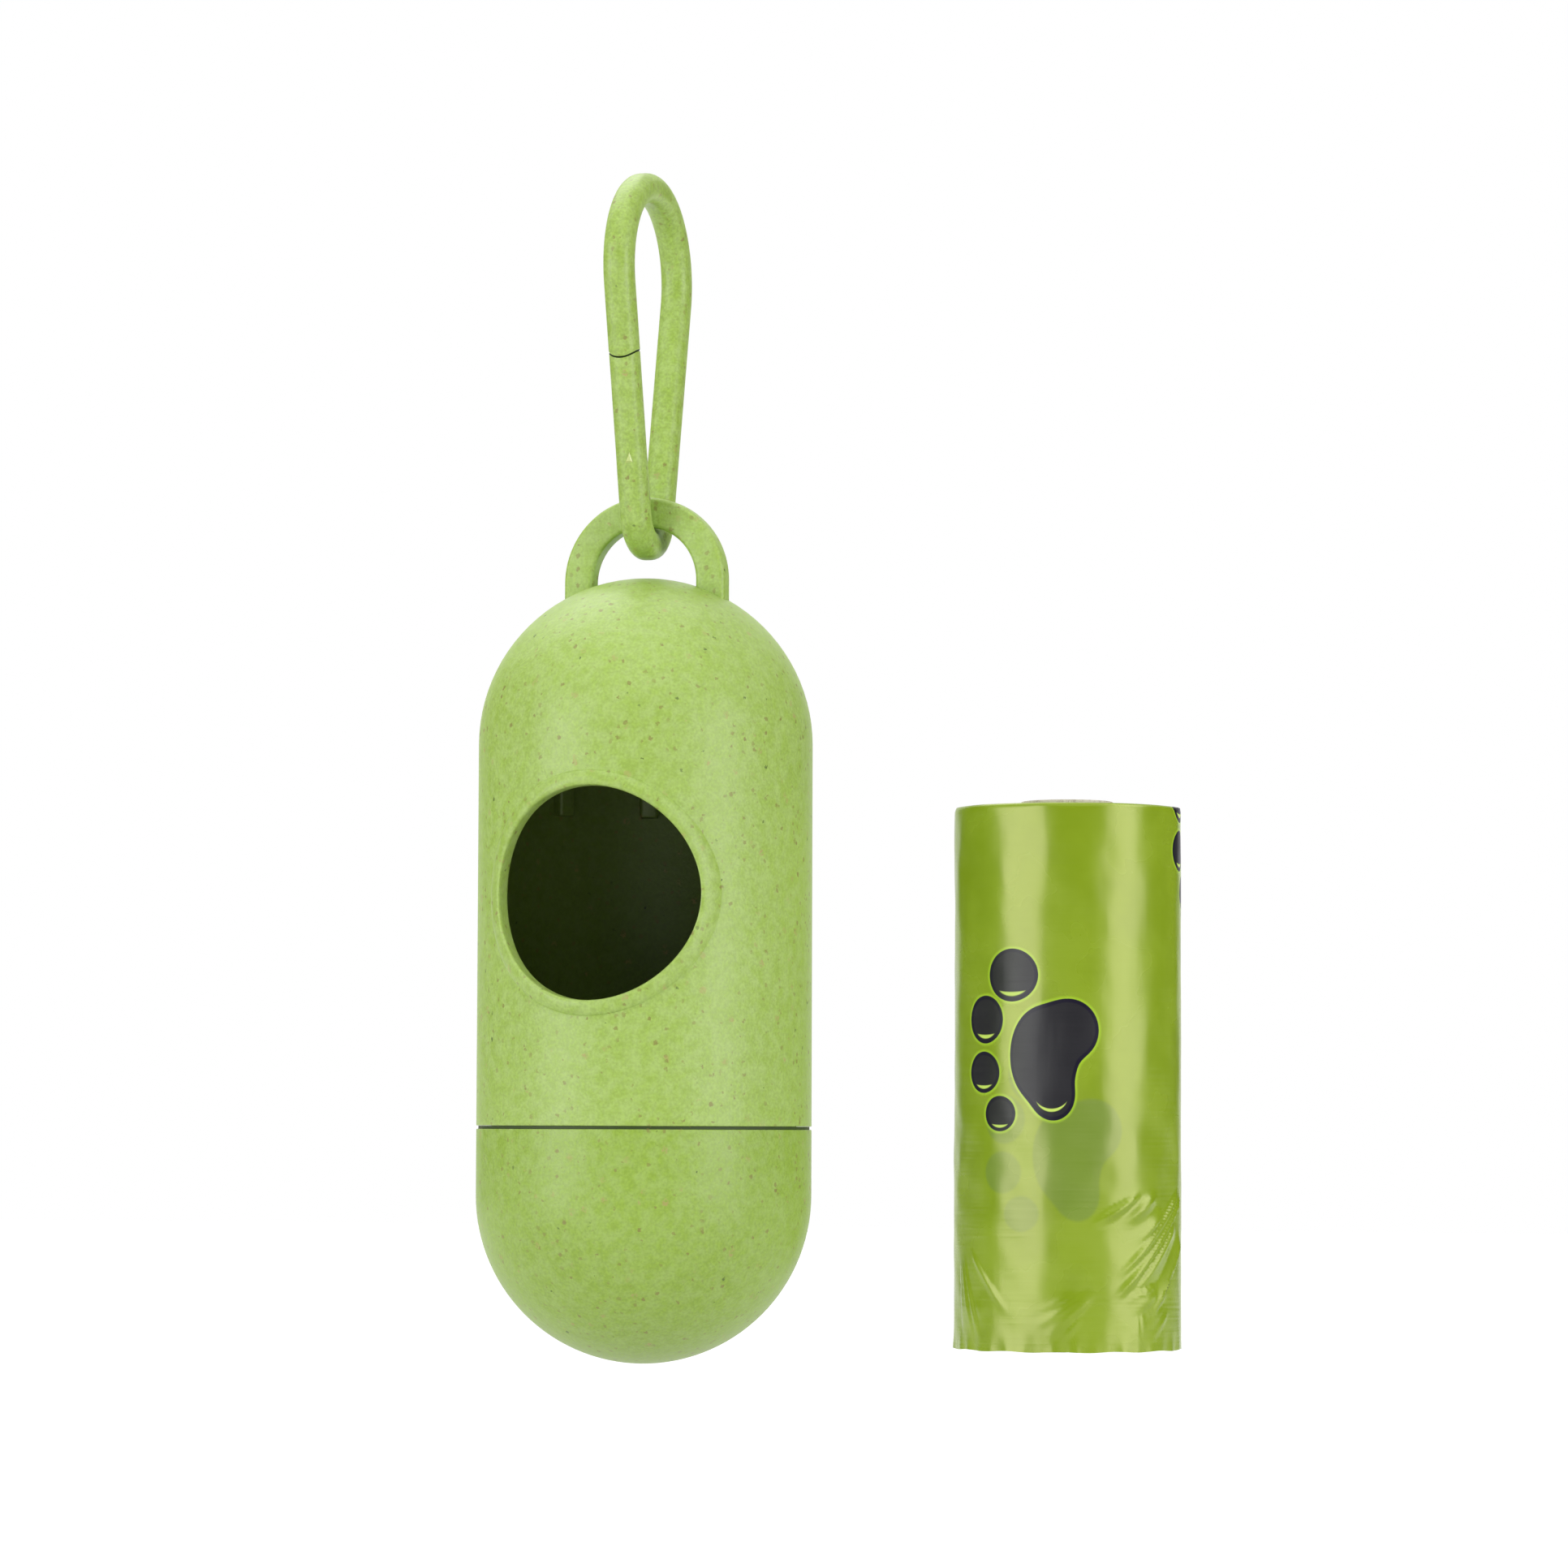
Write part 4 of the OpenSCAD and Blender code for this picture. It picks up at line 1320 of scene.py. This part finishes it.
def film_sheet():
    """Sheet of film with two faces, wound once round the roll and lapped over its own start."""
    turned_by = np.linspace(0, 360 + LAP - 6, SHEET_AROUND + 1)
    heights = np.concatenate([np.linspace(0, 32, 90)[:-1], np.linspace(32, ROLL_LEN - 1, 29)[:-1],
                              np.linspace(ROLL_LEN - 1, ROLL_LEN, 5)])
    t, v = np.meshgrid(turned_by, heights, indexing="ij")
    teeth = np.where((t < 0.5), 0.9 * np.abs((v / 0.9) % 2 - 1), 0.0)
    angle = np.radians(FREE_EDGE - t - teeth)
    u = np.radians(FREE_EDGE - t) * FILM_R
    under = np.clip((t - 345) / 15, 0, 1) + np.clip((LAP + 4 - t) / 10, 0, 1) * 0.5
    wobble = film_height(u, v) * (1 - under)
    sag = 0.13 * (np.sin(u * 0.9) * 0.5 + 0.5) * np.clip(1 - v / 1.5, 0, 1)
    layers = []
    for inside in (0.0, SHEET_T):
        r = sheet_radius(t) - inside + wobble
        layers.append(np.stack([ROLL_X + r * np.cos(angle), ROLL_Y + r * np.sin(angle),
                                TIP + ROLL_RISE + v + sag], axis=-1))
    columns, rows = t.shape
    points = np.concatenate([layer.reshape(-1, 3) for layer in layers])
    number = np.arange(columns * rows).reshape(columns, rows)
    faces = []
    for base, flip in ((0, False), (columns * rows, True)):
        n = number + base
        quads = np.stack([n[:-1, :-1], n[1:, :-1], n[1:, 1:], n[:-1, 1:]], -1).reshape(-1, 4)
        faces += (quads[:, ::-1] if flip else quads).tolist()
    border = [*number[:, 0], *number[-1, 1:], *number[-2::-1, -1], *number[0, -2:0:-1]]
    for a, b in zip(border, border[1:] + border[:1]):
        faces.append([int(b), int(a), int(a) + columns * rows, int(b) + columns * rows])
    uv = np.stack([u, v], axis=-1).reshape(-1, 2)
    return points, faces, np.concatenate([uv, uv])


sheet_points, sheet_faces, sheet_uv = film_sheet()
bag = make_object("outer_bag_sheet", sheet_points, sheet_faces, OUTER_FILM, sharp=70, merge=0)
wrap_map = bag.data.uv_layers.new(name="wrap")
corner_points = np.zeros(len(bag.data.loops), int)
bag.data.loops.foreach_get("vertex_index", corner_points)
wrap_map.data.foreach_set("uv", (sheet_uv[corner_points] * MM).ravel())
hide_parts("outer_bag")
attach(bag, "roll")
report(bag)

# %% [markdown]
# ## Which box lights what
# The photograph was put together from two pictures, and their soft boxes stood differently: the
# capsule's bands are narrower and lie elsewhere than the film's. Light linking repeats that. Each
# set of three boxes gets the pieces it lights, and the floor takes the capsule's set. The box
# behind isn't linked, and lights everything.

# %% Light linking
only_for(FILM_BOXES, [core, wound, bag], "film_side")
only_for(CAPSULE_BOXES, [shell, ribs, ring, cap, clip, gate, floor], "capsule_side")
print("boxes for the film", [b.name for b in FILM_BOXES], "and the capsule",
      [b.name for b in CAPSULE_BOXES])

# %% [markdown]
# Standard view keeps colours as they are written. The visual model must stay inside the solids'
# box, apart from the little that film may stand proud.

# %% Finish
bpy.context.scene.view_settings.view_transform = "Standard"
